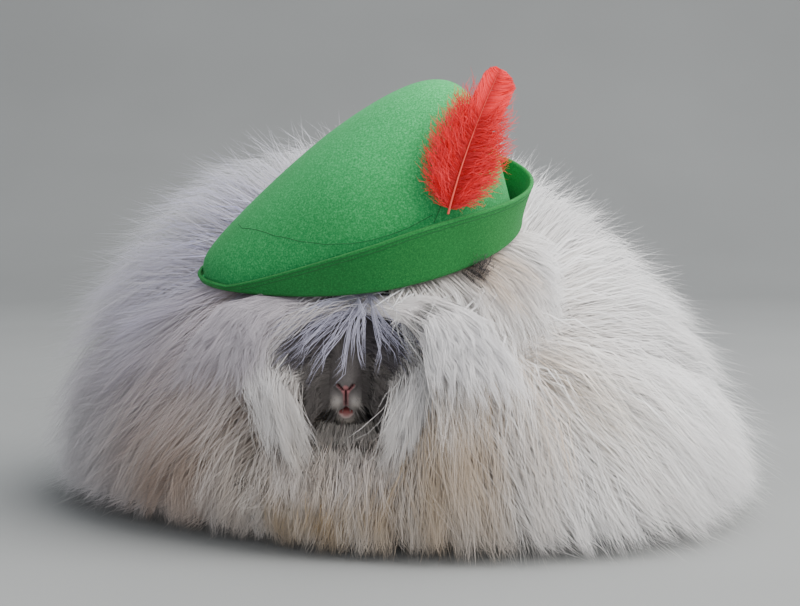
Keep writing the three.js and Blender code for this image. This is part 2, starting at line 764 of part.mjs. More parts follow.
// A fan of locks between its first and its last one, places given from the middle of the head.
function fan({ count, wide, thick, first, last }, side = 1) {
  const locks = [];
  for (let i = 0; i < count; i += 1) {
    const share = i / (count - 1);
    const [root, bend, tip] = [0, 1, 2].map((k) => {
      const place = first[k].clone().lerp(last[k], share);
      return place.set(HEAD.place.x + side * place.x, place.y, place.z);
    });
    tip.add(vec(swing(), swing(), swing()).multiplyScalar(wide / 4));
    const out = vec((bend.x - HEAD.place.x) / 120, -1, 0.25);
    locks.push({ root, bend, tip, out, wide, thick, twist: 0.2 * swing() });
  }
  return locks;
}

// The locks that come out from under the hat beside the face and fall over the temples.
function temples() {
  const locks = [];
  for (let i = 0; i < TEMPLE.count; i += 1) {
    const turn = lerp(TEMPLE.from, TEMPLE.to, i / (TEMPLE.count - 1));
    const root = hatOutline(turn, TEMPLE.rootInset).setZ(-TEMPLE.low / 2).applyMatrix4(HAT_TURN);
    const bend = hatOutline(turn, -TEMPLE.bulge).setZ(-TEMPLE.low).applyMatrix4(HAT_TURN);
    if (abs(bend.x - HEAD.place.x) < TEMPLE.parting) continue;
    const out = vec(cos(turn), sin(turn), 0);
    const tip = bend.clone().addScaledVector(out, TEMPLE.spread).add(vec(0, 0, -TEMPLE.drop));
    locks.push({ root, bend, tip, out, wide: TEMPLE.wide, thick: TEMPLE.thick, twist: 0.2 * swing() });
  }
  return locks;
}

function headLocks() {
  const pairs = [-1, 1].flatMap((side) => [...fan(FANS.cheek, side), ...fan(FANS.jaw, side)]);
  return [...temples(), ...fan(FANS.bangs), ...pairs];
}

function fuse(locks, grow = 0) {
  return union(locks.map((lock) => lockForm(lock, grow)));
}

// The tassel of longer hair at the tip of an ear.
function tassel(name) {
  const { root, tip } = EAR[name];
  const along = tip.clone().sub(root).normalize();
  return [-1, 0, 1].map((s) => ({
    root: tip.clone().addScaledVector(along, TASSEL.root),
    bend: tip.clone().addScaledVector(along, TASSEL.bend).add(TASSEL.lift),
    tip: tip.clone()
      .addScaledVector(along, TASSEL.tip)
      .add(TASSEL.fall)
      .add(vec(0, TASSEL.spread * s, -TASSEL.drop * abs(s))),
    out: TASSEL.out,
    wide: TASSEL.wide,
    thick: TASSEL.thick,
  }));
}

// The tail is a tuft laid up against the rump, with its locks falling over each other.
function tailLocks() {
  const centre = vec(0, TAIL.along, TAIL.height).applyMatrix4(TRUNK_TURN);
  const locks = [];
  for (const [row, count] of TAIL.rows.entries()) {
    for (let i = 0; i < count; i += 1) {
      const across = 2 * i / (count - 1) - 1;
      const place = ({ at, add }, stray = 0) => centre.clone()
        .addScaledVector(ALONG, at.x + add.x * row)
        .addScaledVector(ACROSS, at.y * across + stray)
        .add(vec(0, 0, at.z + add.z * row));
      locks.push({
        root: place(TAIL.root),
        bend: place(TAIL.bend),
        tip: place(TAIL.tip, TAIL.stray * swing()),
        out: ALONG.clone().addScaledVector(ACROSS, 0.4 * across).add(vec(0, 0, 0.4)),
        wide: TAIL.wide,
        thick: TAIL.thick,
        twist: 0.2 * swing(),
      });
    }
  }
  return locks;
}

// The wool of the head rises into the crown of the hat, which rests on it.
function topknot(sunk, grow) {
  return crownForm(TOPKNOT.inset - grow, sunk + grow, FACETS.topknot);
}

function headCap(grow) {
  return topknot(TOPKNOT.sunk, grow).intersect(territory('head', 0)).add(topknot(TOPKNOT.lip, grow));
}

function earSpace() {
  const sides = ['left', 'right'];
  const ears = sides.map((side) => earForm(side, EAR_ROOM, FACETS.earSpace));
  return union([...ears, fuse(sides.flatMap(tassel), EAR_ROOM / 3)]);
}

function makeParts() {
  const parts = {};
  const hat = crownForm(-GAP, 1 + GAP).add(cuffForm(GAP));
  parts.hat_crown = crownForm(0).subtract(crownForm(HAT.felt, HAT.hollow));
  parts.hat_brim = cuffForm();
  parts.hat_feather = featherForm().subtract(hat);
  for (const [name, side] of [['left', 1], ['right', -1]]) {
    parts[`eye_${name}`] = eyeball(side, 0);
    parts[`ear_${name}`] = earForm(name).add(fuse(tassel(name))).subtract(headForm(GAP)).subtract(hat);
  }
  const onTail = tailLocks();
  parts.tail = tailForm().add(fuse(onTail));
  const core = makeCore();
  const grown = makeCore(GAP);
  const locks = coatLocks();
  locks.chest.push(...fan(FANS.bib));
  const onHead = headLocks();
  const tailSpace = tailForm(GAP).add(fuse(onTail, GAP + TIP_ROOM));
  let taken = union([hatSpace(GAP + CUFF.flareBack), earSpace(), tailSpace]);
  for (const [name] of REGIONS) {
    const own = territory(name, GAP);
    let wool = core.intersect(own).subtract(faceWindow());
    if (locks[name].length) wool = wool.add(fuse(locks[name]));
    wool = wool.subtract(grown.subtract(own)).subtract(taken).intersect(above(1));
    if (locks[name].length) taken = taken.add(fuse(locks[name], GAP + TIP_ROOM));
    if (name === 'head') {
      wool = makeHead(wool, fuse(onHead).subtract(taken).subtract(grown.subtract(own)));
      taken = union([taken, fuse(onHead, GAP + TIP_ROOM), headForm(GAP), headCap(GAP)]);
    }
    const [kind, way] = name.split('_');
    if (FOOT[kind]) {
      wool = wool.add(footForm(kind, way === 'left' ? 1 : -1));
      taken = taken.add(footForm(kind, way === 'left' ? 1 : -1, GAP));
    }
    parts[name] = wool;
  }
  return parts;
}

const FINISH = {
  head: COLOURS.face,
  eye_left: COLOURS.eye,
  eye_right: COLOURS.eye,
  ear_left: COLOURS.face,
  ear_right: COLOURS.face,
  hat_crown: COLOURS.felt,
  hat_brim: COLOURS.felt,
  hat_feather: COLOURS.feather,
};

function assemble(parts) {
  const group = new THREE.Group();
  for (const [name, solid] of Object.entries(parts)) {
    const color = FINISH[name] ?? COLOURS.wool;
    const material = new THREE.MeshStandardMaterial({ color, roughness: 0.9, metalness: 0 });
    const mesh = new THREE.Mesh(geometryOf(largest(solid.simplify(SMALLEST))), material);
    mesh.name = name;
    group.add(mesh);
  }
  const bounds = new THREE.Box3().setFromObject(group);
  const middle = bounds.getCenter(vec());
  group.position.set(-middle.x, -middle.y, -bounds.min.z);
  return group;
}

export default assemble(makeParts());
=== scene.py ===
# An English angora rabbit in full coat, sitting, in a green felt hat with a red feather.
# Sizes are in millimetres in the rabbit's own frame: +X is its left side, -Y is the way it looks,
# +Z is up and the floor is z = 0. in_metres() turns them into metres in the frame of the model.
import math

import bpy
import numpy as np
from mathutils import Euler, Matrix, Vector
from mathutils.kdtree import KDTree


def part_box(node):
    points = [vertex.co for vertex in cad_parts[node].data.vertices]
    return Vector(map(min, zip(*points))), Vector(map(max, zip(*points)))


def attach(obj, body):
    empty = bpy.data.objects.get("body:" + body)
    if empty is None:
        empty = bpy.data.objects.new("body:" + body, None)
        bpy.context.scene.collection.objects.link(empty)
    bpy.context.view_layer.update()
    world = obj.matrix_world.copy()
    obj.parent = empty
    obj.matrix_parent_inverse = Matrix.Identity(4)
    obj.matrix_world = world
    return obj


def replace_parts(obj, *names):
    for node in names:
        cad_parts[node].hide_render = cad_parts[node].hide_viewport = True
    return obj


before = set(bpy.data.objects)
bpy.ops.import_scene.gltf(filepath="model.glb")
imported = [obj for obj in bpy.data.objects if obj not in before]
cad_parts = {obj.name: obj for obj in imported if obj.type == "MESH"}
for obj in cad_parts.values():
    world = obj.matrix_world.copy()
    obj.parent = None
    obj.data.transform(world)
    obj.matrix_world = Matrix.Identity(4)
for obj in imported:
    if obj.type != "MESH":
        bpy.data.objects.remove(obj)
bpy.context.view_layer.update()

MM = 0.001
rng = np.random.default_rng(7)


def vec(x=0.0, y=0.0, z=0.0):
    return np.array([x, y, z], float)


def srgb(r, g, b):
    """The linear colour of an sRGB one given from 0 to 255."""
    c = np.array([r, g, b], float) / 255
    return np.where(c <= 0.04045, c / 12.92, ((c + 0.055) / 1.055) ** 2.4)


# Driving dimensions, as in the solids. The coat is an ellipse turned about its centre. The powers of its
# right and left side round it towards the top, and each tuck at its hem has a share, a turn and a width.
COAT = {
    "centre": vec(4, 30, 0),
    "long": 272,
    "wide": 222,
    "turn": math.radians(-31.4),
    "top": 267,
    "hem": 45,
    "tucks": [(0.24, math.radians(-133), math.radians(45)), (0.11, math.radians(-22), math.radians(20))],
    "right": (2.3, 2.2),
    "left": (1.6, 1.85),
}
BODY = {
    "centre": vec(15, 45, 88),
    "half": vec(72, 120, 70),
    "yaw": math.radians(20),
    "middle": vec(12, 40, 45),
}
HEAD = {"place": vec(-34, -74, 122), "pitch": math.radians(16), "eye": vec(23.5, -9, 7), "eye_radius": 8.2}
EARS = {
    "facing": vec(0, -0.35, -0.94),
    "half_width": 17,
    "cup": 9,
    "thick": 1.3,
    "left": (vec(-17, -58, 143), vec(56, -80, 166)),
    "right": (vec(-51, -58, 141), vec(-120, -76, 132)),
}
HAT = {
    "place": vec(-15, -62, 187),
    "turn": Euler((math.radians(20), math.radians(-10.5), math.radians(3)), "XYZ"),
    "front": 118,
    "back": 96,
    "half_width": 72,
    "pinch": 0.32,
    "pinch_power": 1.5,
    "ridge": [(-114, -1), (-103, 20), (-16, 77), (50, 101), (80, 76), (91, -1)],
    "arch": 0.85,
    "fold": 3.5,
    "felt": 2.3,
}
CUFF = {
    "from": -0.85,
    "low": 2,
    "high": 33,
    "peak": 0.74,
    "flare_front": 0.5,
    "flare_back": 11,
    "inset": 2.4,
}
FEATHER = {
    "base": vec(30, -139, 212),
    "bend": vec(40, -141, 252),
    "tip": vec(62, -118, 298),
    "facing": vec(0.25, -0.92, 0.3),
    "light": srgb(255, 70, 76),
    "dark": srgb(240, 22, 28),
}

# Rounded forms under the coat. Places are across the trunk, along it and over the floor.
NECK = {"place": (0, -98, 112), "half": vec(38, 44, 42)}
TAIL = {"place": (0, 140, 92), "half": vec(15, 42, 15)}
LEGS = {
    "hind": {"across": 62, "along": 58, "foot": vec(15, 48, 26), "limb": vec(24, 42, 44)},
    "fore": {"across": 27, "along": -96, "foot": vec(12, 27, 26), "limb": vec(18, 20, 46)},
}
FOOT_SUNK = 8                          # how deep a foot's form goes into the floor, where it is cut flat
LIMB = {"across": 0.9, "along": 0.86, "height": 52}

# The room that the coat leaves before the face: a cone along y, with its radius at both ends.
FACE = {"middle": vec(-34, -150, 103), "near": 50, "deep": 31, "length": 170, "inner": -40}

# The camera of the photograph.
CAMERA = {"place": vec(0, -1300, 260), "down": math.radians(5.2), "lens": 85.5, "sensor": 36}

FLESH = [
    "head", "neck", "chest", "torso", "rump", "tail", "ear_left", "ear_right",
    "foreleg_left", "foreleg_right", "hindleg_left", "hindleg_right",
]

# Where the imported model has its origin, found from the middle between the eyes.
EYE_MIDDLE = vec(-34, -84.58, 126.25)


def box_middle(node):
    low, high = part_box(node)
    return (np.array(low) + np.array(high)) / 2


ORIGIN = (box_middle("eye_left") + box_middle("eye_right")) / 2 - EYE_MIDDLE * MM


def in_metres(points):
    """Places in metres in the frame of the model."""
    return points * MM + ORIGIN


def unit(v):
    return v / np.maximum(np.linalg.norm(v, axis=-1, keepdims=True), 1e-9)


def lerp(a, b, t):
    return a + (b - a) * t


def smooth(low, high, value):
    t = np.clip((value - low) / (high - low), 0, 1)
    return t * t * (3 - 2 * t)


def bell(value, wide):
    """1 where the value is 0, falling off to both sides within about the width."""
    return np.exp(-((value / wide) ** 2))


# The outer surface of the coat and the skin under it.
def tuck_at(theta):
    """How far the hem turns in at a turn, as a share of the outline."""
    return sum(share * bell(np.arccos(np.cos(theta - at)), wide) for share, at, wide in COAT["tucks"])


def coat_radius(theta, z):
    """How far the coat reaches from its centre line at a turn and a height."""
    side = (1 + np.cos(theta)) / 2
    rise = lerp(COAT["right"][0], COAT["left"][0], side)
    rounding = lerp(COAT["right"][1], COAT["left"][1], side)
    turned = theta - COAT["turn"]
    outline = 1 / np.hypot(np.cos(turned) / COAT["long"], np.sin(turned) / COAT["wide"])
    level = np.clip(z / COAT["top"], 0, 1)
    below = np.clip(1 - z / COAT["hem"], 0, 1)
    return outline * (1 - level**rise) ** (1 / rounding) * (1 - tuck_at(theta) * below * below)


def inside_coat(p):
    x, y = p[..., 0] - COAT["centre"][0], p[..., 1] - COAT["centre"][1]
    within = np.hypot(x, y) < coat_radius(np.arctan2(y, x), p[..., 2])
    return within & (p[..., 2] > 0) & (p[..., 2] < COAT["top"])


ALONG = vec(math.sin(BODY["yaw"]), math.cos(BODY["yaw"]))
ACROSS = vec(math.cos(BODY["yaw"]), -math.sin(BODY["yaw"]))
UP = vec(0, 0, 1)
HEM_FACING = 0.002                     # how strongly the outside of the coat faces down at the floor


def coat_normal(p):
    """The way that the outside of the coat faces nearby, without its locks."""
    turn = COAT["turn"]
    long, wide = vec(math.cos(turn), math.sin(turn)), vec(-math.sin(turn), math.cos(turn))
    off = p - COAT["centre"]
    high = off[..., 2:] / COAT["top"] ** 2 - np.clip(1 - off[..., 2:] / COAT["hem"], 0, 1) * HEM_FACING
    along = (off @ long)[..., None] * long / COAT["long"] ** 2
    aside = (off @ wide)[..., None] * wide / COAT["wide"] ** 2
    return unit(along + aside + high * UP)


def inside_trunk(p):
    off = p - BODY["centre"]
    parts = np.stack([off @ ACROSS, off @ ALONG, off[..., 2]], -1)
    return np.linalg.norm(parts / BODY["half"], axis=-1) < 1


def reach(inside, middle, ways, limit=700.0, steps=24):
    """How far a form reaches from a middle along some directions, found by halving."""
    low, high = np.zeros(len(ways)), np.full(len(ways), limit)
    for _ in range(steps):
        half = (low + high) / 2
        within = inside(middle + ways * half[:, None])
        low, high = np.where(within, half, low), np.where(within, high, half)
    return low


def on_trunk(across, along, height):
    """A place across and along the trunk, at a height over the floor."""
    return BODY["centre"] * [1, 1, 0] + ACROSS * across + ALONG * along + UP * height


# Materials.
def new_material(name, **sockets):
    made = bpy.data.materials.new(name)
    made.use_nodes = True
    shader = made.node_tree.nodes["Principled BSDF"]
    for key, value in sockets.items():
        shader.inputs[key.replace("_", " ")].default_value = value
    return made, made.node_tree, shader


def ramp(tree, source, stops):
    node = tree.nodes.new("ShaderNodeValToRGB")
    elements = node.color_ramp.elements
    for _ in range(len(stops) - 2):
        elements.new(0.5)
    for element, (place, colour) in zip(elements, stops):
        element.position = place
        element.color = (*colour, 1)
    tree.links.new(source, node.inputs["Fac"])
    return node.outputs["Color"]


def object_place(tree):
    """The place on the model, in metres."""
    return tree.nodes.new("ShaderNodeTexCoord").outputs["Object"]


def noise(tree, scale, detail=4.0, roughness=0.55):
    node = tree.nodes.new("ShaderNodeTexNoise")
    for key, value in (("Scale", scale), ("Detail", detail), ("Roughness", roughness)):
        node.inputs[key].default_value = value
    tree.links.new(object_place(tree), node.inputs["Vector"])
    return node.outputs["Fac"]


def multiply(tree, a, b):
    """The product of two colours."""
    node = tree.nodes.new("ShaderNodeMix")
    node.data_type = "RGBA"
    node.blend_type = "MULTIPLY"
    node.inputs["Factor"].default_value = 1.0
    sockets = [socket for socket in node.inputs if socket.type == "RGBA"]
    for colour, socket in zip((a, b), sockets):
        tree.links.new(colour, socket)
    return next(socket for socket in node.outputs if socket.type == "RGBA")


def bump(tree, shader, height, strength, distance):
    node = tree.nodes.new("ShaderNodeBump")
    node.inputs["Strength"].default_value = strength
    node.inputs["Distance"].default_value = distance
    tree.links.new(height, node.inputs["Height"])
    tree.links.new(node.outputs["Normal"], shader.inputs["Normal"])


# What breaks up the tint of a surface: the values of a noise, and its stops of colour.
SPECKLE = ((900.0,), [(0.3, (0.86, 0.86, 0.86)), (0.7, (1, 1, 1))])
FIBRES = ((700.0, 6.0), [(0.3, (0.6, 0.55, 0.5)), (0.7, (1, 1, 1))])


def tinted_material(name, grain, **sockets):
    """A material that takes its colour from the tint that each point of the mesh carries."""
    made, tree, shader = new_material(name, **sockets)
    tint = tree.nodes.new("ShaderNodeAttribute")
    tint.attribute_name = "tint"
    values, stops = grain
    broken = ramp(tree, noise(tree, *values), stops)
    tree.links.new(multiply(tree, tint.outputs["Color"], broken), shader.inputs["Base Color"])
    return made, tree, shader


def wool_material():
    return tinted_material("wool", SPECKLE, Roughness=0.75, Sheen_Weight=0.25, Sheen_Roughness=0.5)[0]


def skin_material():
    made, tree, shader = tinted_material("skin", SPECKLE, Roughness=0.62)
    bump(tree, shader, noise(tree, 1400.0, 2.0), 0.35, 0.0006)
    return made


def eye_material():
    return tinted_material("eye", FIBRES, Roughness=0.06, Coat_Weight=1.0, Coat_Roughness=0.02)[0]


def feather_material():
    return tinted_material("feather", SPECKLE, Roughness=0.8, Specular_IOR_Level=0.15)[0]


# The dark, middle and light colour of each felt, the tint of its sheen, the stops of its broad mottling,
# and the stops by height of a painted light and shade, darker low on the hat and lighter towards its top.
FELTS = {
    "felt": (srgb(20, 118, 60), srgb(46, 160, 90), srgb(104, 206, 140)),
    "brim_felt": (srgb(18, 104, 46), srgb(34, 134, 64), srgb(66, 162, 90)),
}
FELT_SHEEN = (*srgb(120, 230, 140), 1)
FELT_BROAD = [(0.3, (0.86, 0.9, 0.88)), (0.7, (1.1, 1.06, 1.08))]
FELT_PAINTED_LIGHT = [(0.2, (0.6, 0.74, 0.62)), (0.27, (1.1, 1.16, 1.1))]
THREAD = (*srgb(20, 92, 46), 1)


def felt_material(name):
    made, tree, shader = new_material(
        name, Roughness=0.95, Sheen_Weight=0.12, Sheen_Roughness=0.4, Sheen_Tint=FELT_SHEEN
    )
    split = tree.nodes.new("ShaderNodeSeparateXYZ")
    tree.links.new(object_place(tree), split.inputs["Vector"])
    # Painted light and shade by height: darker low on the hat and lighter towards its top.
    painted_light_by_height = ramp(tree, split.outputs["Z"], FELT_PAINTED_LIGHT)
    mottle = ramp(tree, noise(tree, 850.0, 5.0, 0.75), list(zip((0.26, 0.5, 0.74), FELTS[name])))
    # The broad mottling, together with the painted light and shade by height.
    broad_with_painted_light = multiply(tree, ramp(tree, noise(tree, 14.0, 2.0), FELT_BROAD), painted_light_by_height)
    tree.links.new(multiply(tree, mottle, broad_with_painted_light), shader.inputs["Base Color"])
    bump(tree, shader, noise(tree, 1100.0, 6.0, 0.7), 0.6, 0.0007)
    return made


def thread_material():
    return new_material("thread", Roughness=0.9, Base_Color=THREAD)[0]


# Objects and meshes.
def add_object(name, data):
    """A new object in the scene."""
    made = bpy.data.objects.new(name, data)
    bpy.context.scene.collection.objects.link(made)
    return made


def build_mesh(name, places, counts, corners):
    """A mesh of polygons: counts gives the corners of each, corners the points in turn."""
    mesh = bpy.data.meshes.new(name)
    mesh.vertices.add(len(places))
    mesh.vertices.foreach_set("co", places.astype(np.float32).ravel())
    mesh.loops.add(len(corners))
    mesh.loops.foreach_set("vertex_index", corners.astype(np.int32))
    mesh.polygons.add(len(counts))
    starts = np.concatenate([[0], np.cumsum(counts)[:-1]])
    mesh.polygons.foreach_set("loop_start", starts.astype(np.int32))
    mesh.update(calc_edges=True)
    return mesh


def set_tint(mesh, tints):
    """Gives each point of a mesh its colour."""
    attribute = mesh.attributes.new("tint", "FLOAT_COLOR", "POINT")
    rgba = np.concatenate([tints, np.ones((len(tints), 1))], 1)
    attribute.data.foreach_set("color", rgba.astype(np.float32).ravel())


def mesh_object(name, points, counts, corners, material, tints=None, uv=None, normals=None):
    """A piece of the model from a mesh of polygons, with smooth shading."""
    mesh = build_mesh(name, in_metres(points), counts, corners)
    mesh.polygons.foreach_set("use_smooth", np.ones(len(counts), bool))
    if tints is not None:
        set_tint(mesh, tints)
    if uv is not None:
        layer = mesh.uv_layers.new(name="OFBake")
        layer.uv.foreach_set("vector", uv[corners].astype(np.float32).ravel())
    if normals is not None:
        mesh.normals_split_custom_set_from_vertices(unit(normals).tolist())
    mesh.materials.append(material)
    made = add_object(name, mesh)
    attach(made, "root")
    return made


def grid_faces(rows, columns, closed):
    """Quads of a grid of points, row by row; closed joins the last column to the first."""
    across = columns if closed else columns - 1
    i, j = np.meshgrid(np.arange(rows - 1), np.arange(across), indexing="ij")
    here, right = i * columns + j, i * columns + (j + 1) % columns
    return np.stack([here, right, right + columns, here + columns], -1).reshape(-1, 4)


def grid_object(name, points, closed, material, tints=None):
    """A piece of the model from a grid of points."""
    quads = grid_faces(*points.shape[:2], closed)
    counts = np.full(len(quads), 4)
    colours = None if tints is None else tints.reshape(-1, 3)
    return mesh_object(name, points.reshape(-1, 3), counts, quads.ravel(), material, colours)


def apply_modifiers(thing):
    bpy.context.view_layer.update()
    shape = thing.evaluated_get(bpy.context.evaluated_depsgraph_get())
    final = bpy.data.meshes.new_from_object(shape)
    old = thing.data
    thing.modifiers.clear()
    thing.data = final
    bpy.data.meshes.remove(old)
    final.name = thing.name


# Strands of hair and barbs of the feather: closed three-sided blades, tapered to a point.
STRAND_STEPS = np.array([0, 0.4, 0.65, 0.85, 1.0])
COAT_STEPS = np.array([0, 0.4, 0.7, 1.0])
SHORT_STEPS = np.array([0, 0.4, 0.75, 1.0])
OUTER_STEPS = np.linspace(0.4, 1, 6)   # where a strand is tested against what may be in its way
TAPER = ([0, 0.35, 0.75, 1], [0.8, 1.0, 0.62, 0.0])    # places along a strand, and its width there
RIDGE = 0.5                            # height of a strand's ridge against half its width
LOWEST = 0.4                           # height over the floor under which no strand goes
PATCH = 0.003                          # size of a strand's patch in its map
CLUMPING = 1.6                         # power that leaves the pull of a clump to the ends of its strands
BRIGHTEST = 0.97                       # upper limit of the colours of the wool


def strand_template(rings):
    """Corner counts and corners of one strand of some rings of three points and a tip."""
    counts, corners = [3], [0, 1, 2]
    for k in range(rings - 1):
        for j in range(3):
            a, b = 3 * k + j, 3 * k + (j + 1) % 3
            corners += [a, a + 3, b + 3, b]
            counts.append(4)
    last = 3 * (rings - 1)
    for j in range(3):
        corners += [last + j, 3 * rings, last + (j + 1) % 3]
        counts.append(3)
    return np.array(counts), np.array(corners)


def around_path(middle, side, up, last):
    """Puts the three points of each ring of a strand in order, and its tip after them."""
    count, steps = middle.shape[:2]
    ring = np.stack([middle - side, middle + side, middle + up], 2)[:, : steps - 1]
    return np.concatenate([ring.reshape(count, 3 * (steps - 1), 3), last], 1)


def strand_normals(side, up, soft, softness):
    """Normals of the points of each strand, turned from its own to soft ones."""
    own = lerp(up, soft, softness)
    return around_path(own, side * (1 - softness), up * 0, own[:, -1:]).reshape(-1, 3)


def strand_object(name, paths, widths, outs, tints, uv, material, nodes, softness=0.75, shades=None):
    """Joined strands. outs is the way each faces, tints has a colour and shades a normal for every step.
    The normals go over to the shades with the softness, and softness 0 keeps those of the mesh."""
    count, steps = paths.shape[:2]
    profile = np.interp(np.linspace(0, 1, steps), *TAPER)
    tangents = unit(np.gradient(paths, axis=1))
    side = unit(np.cross(tangents, outs[:, None]))
    up = np.cross(side, tangents)
    half = (widths[:, None] * profile / 2)[..., None]
    points = around_path(paths, side * half, up * half * RIDGE, paths[:, -1:])
    points[..., 2] = np.maximum(points[..., 2], LOWEST)
    if shades is None:
        shades = np.repeat(outs[:, None], steps, 1)
    normals = strand_normals(side, up, shades, softness) if softness else None
    per = points.shape[1]
    counts, corners = strand_template(steps - 1)
    all_corners = (corners[None] + per * np.arange(count)[:, None]).ravel()
    step_of = np.concatenate([np.repeat(np.arange(steps - 1), 3), [steps - 1]])
    side_of = np.concatenate([np.tile(np.arange(3), steps - 1), [1]])
    spread = np.stack([step_of / (steps - 1) - 0.5, side_of / 2 - 0.5], -1) * PATCH
    patches = np.clip(uv[:, None] + spread[None], 0, 1).reshape(-1, 2)
    colours = tints[:, step_of].reshape(-1, 3)
    flat, many = points.reshape(-1, 3), np.tile(counts, count)
    made = mesh_object(name, flat, many, all_corners, material, colours, patches, normals)
    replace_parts(made, *nodes)


def bezier(root, bend, tip, steps=STRAND_STEPS):
    """Curves from roots to tips, drawn towards their bends, as a place at each step."""
    t = steps[None, :, None]
    return (1 - t) ** 2 * root[:, None] + 2 * t * (1 - t) * bend[:, None] + t**2 * tip[:, None]


def clump(paths, leaders, pull):
    """Draws each strand towards the path of the nearest of some leading strands, most at its tip."""
    count, steps = paths.shape[:2]
    chosen = rng.choice(count, min(leaders, count), replace=False)
    tips = paths[:, -1]
    tree = KDTree(len(chosen))
    for index, place in enumerate(tips[chosen]):
        tree.insert(place, index)
    tree.balance()
    nearest = np.array([tree.find(place)[1] for place in tips])
    share = np.linspace(0, 1, steps) ** CLUMPING
    amount = (pull * (0.6 + 0.4 * rng.random(count)))[:, None, None] * share[None, :, None]
    return paths + (paths[chosen[nearest]] - paths) * amount, nearest


def wave(paths, size, group=None):
    """Bends strands gently to and fro; strands of one group bend alike."""
    count, steps = paths.shape[:2]
    keys = np.arange(count) if group is None else group
    many = keys.max() + 1
    phase = rng.random((many, 3))[keys] * 2 * math.pi
    pace = (1.2 + 1.6 * rng.random((many, 3)))[keys] * math.pi
    share = np.linspace(0, 1, steps)
    curve = np.sin(phase[:, None] + pace[:, None] * share[None, :, None])
    return paths + curve * size * share[None, :, None] ** 1.2


# The hat's own frame: its beak points along -x, and the fold of its brim is z = 0.
HAT_TURN = np.array(HAT["turn"].to_matrix())


def from_hat(p):
    """Places in the rabbit's frame, from places in the hat's own."""
    return p @ HAT_TURN.T + HAT["place"]


def into_hat(p):
    return (p - HAT["place"]) @ HAT_TURN


def hat_outline(turn, inset):
    """The line of the brim at a turn, some way inside it."""
    c, s = np.cos(turn), np.sin(turn)
    span = np.where(c < 0, HAT["front"], HAT["back"]) - inset
    beak = np.where(c < 0, 1 - HAT["pinch"] * np.abs(c) ** HAT["pinch_power"], 1)
    return span * c, (HAT["half_width"] - inset) * s * beak


def hat_half_width(x, inset):
    span = np.where(x < 0, HAT["front"], HAT["back"]) - inset
    return np.maximum(hat_outline(np.arccos(np.clip(x / span, -1, 1)), inset)[1], 0)


def in_hat_space(p, room):
    """Whether places are in the hat, over it or beyond its far side, with some room round it."""
    at = into_hat(p)
    beyond = (at[..., 0] > HAT["back"] + room) | (at[..., 0] < -HAT["front"] - room)
    return (at[..., 2] > -room) & ~beyond & (at[..., 1] < hat_half_width(at[..., 0], -room))


def in_face_window(p, room):
    """Whether places are in the room before the face, with some more round it."""
    off = p - FACE["middle"]
    radius = lerp(FACE["near"], FACE["deep"], np.clip(off[..., 1] / FACE["length"] + 0.5, 0, 1))
    near = np.hypot(off[..., 0], off[..., 2]) < radius + room
    return (np.abs(off[..., 1]) < FACE["length"] / 2) & near


# The head, in its own frame: the nose looks along -Y, z is up, the middle of the skull is 0.
SKULL = [
    (vec(0, 8, 6), vec(26, 34, 25), False),
    (vec(0, -14, 2), vec(20, 28, 20), False),
    (vec(15, -6, -11), vec(14, 24, 18), True),
    (vec(0, -34, -9), vec(13, 16, 15), False),
    (vec(6.5, -42, -18), vec(7.5, 8, 9), True),
    (vec(0, -46, -6), vec(5.5, 5.5, 4.5), False),
    (vec(0, -34, -31), vec(11, 13, 9), False),
    (vec(18, -8, 13), vec(7, 11, 5), True),
]
SKULL_BLEND = 5
NOSE = vec(0, -51, -8)


def tilted(p, pitch):
    """Places turned about the x axis."""
    c, s = math.cos(pitch), math.sin(pitch)
    return np.stack([p[..., 0], p[..., 1] * c - p[..., 2] * s, p[..., 1] * s + p[..., 2] * c], -1)


def from_head(p):
    return tilted(p, HEAD["pitch"]) + HEAD["place"]


def into_head(p):
    return tilted(p - HEAD["place"], -HEAD["pitch"])


def skull_field(p):
    """Over 1 inside the skull, whose rounded forms flow together; a pair has its other form at -x."""
    field = 0
    for at, half, pair in SKULL:
        for side in (1, -1) if pair else (1,):
            off = (p - at * [side, 1, 1]) / half
            field = field + np.exp(SKULL_BLEND * (1 - np.linalg.norm(off, axis=-1)))
    return field


def inside_skull(p):
    return skull_field(p) > 1


def head_surface(ways):
    """Places on the skull in some directions from its middle."""
    return ways * reach(inside_skull, vec(), ways, 120.0)[:, None]


# The face, in the head's own frame. Lines and marks are places in x and z on the front of the muzzle, for
# the left half, and MUZZLE gives where along y the front begins and where it is full.
MUZZLE = (-26, -34)
NOSTRIL = {"line": ((1.7, -10.6), (4.6, -7.5)), "wide": (0.5, 0.9), "wing_at": 2.0, "wing_wide": 0.9}
CLEFT = {"low": -22.5, "high": -11.5, "wide": 0.65}
PADS = {"raised": ((4.4, -19), (3.0, 4.5)), "pale": ((6.2, -20.5), (4.0, 4.8))}
LIPS = {"apex": -23.2, "slope": 0.8, "lower": -30.2, "bow": 0.12, "soft": 1.1, "rim": (0.9, 0.8)}
MOUTH = {"from": -25, "to": -28.5, "deep": (6.0, 1.6)}
RELIEF = {"slit": 3.2, "wing": 0.5, "cleft": 1.7, "pad": 0.9, "lip": 0.6, "lid": 1.7, "socket": 4.5}
# The slit colour is painted shade in the nostril slits and the cleft under the nose; the darkest mouth
# colour is painted shade under the upper lip.
FACE_COLOURS = {
    "dark": srgb(96, 90, 88), "pale": srgb(114, 108, 106), "chin": srgb(150, 144, 132),
    "pad": srgb(206, 198, 192), "pink": srgb(196, 122, 124), "slit": srgb(58, 12, 18),
    "lip": srgb(186, 146, 142), "mouth_shade": srgb(52, 10, 14), "gum": srgb(150, 74, 72),
}


def to_line(x, z, line):
    """Distance of places from a line, and how far along it they lie, from 0 to 1."""
    (ax, az), (bx, bz) = line
    t = np.clip(((x - ax) * (bx - ax) + (z - az) * (bz - az)) / ((bx - ax) ** 2 + (bz - az) ** 2), 0, 1)
    return np.hypot(x - ax - t * (bx - ax), z - az - t * (bz - az)), t


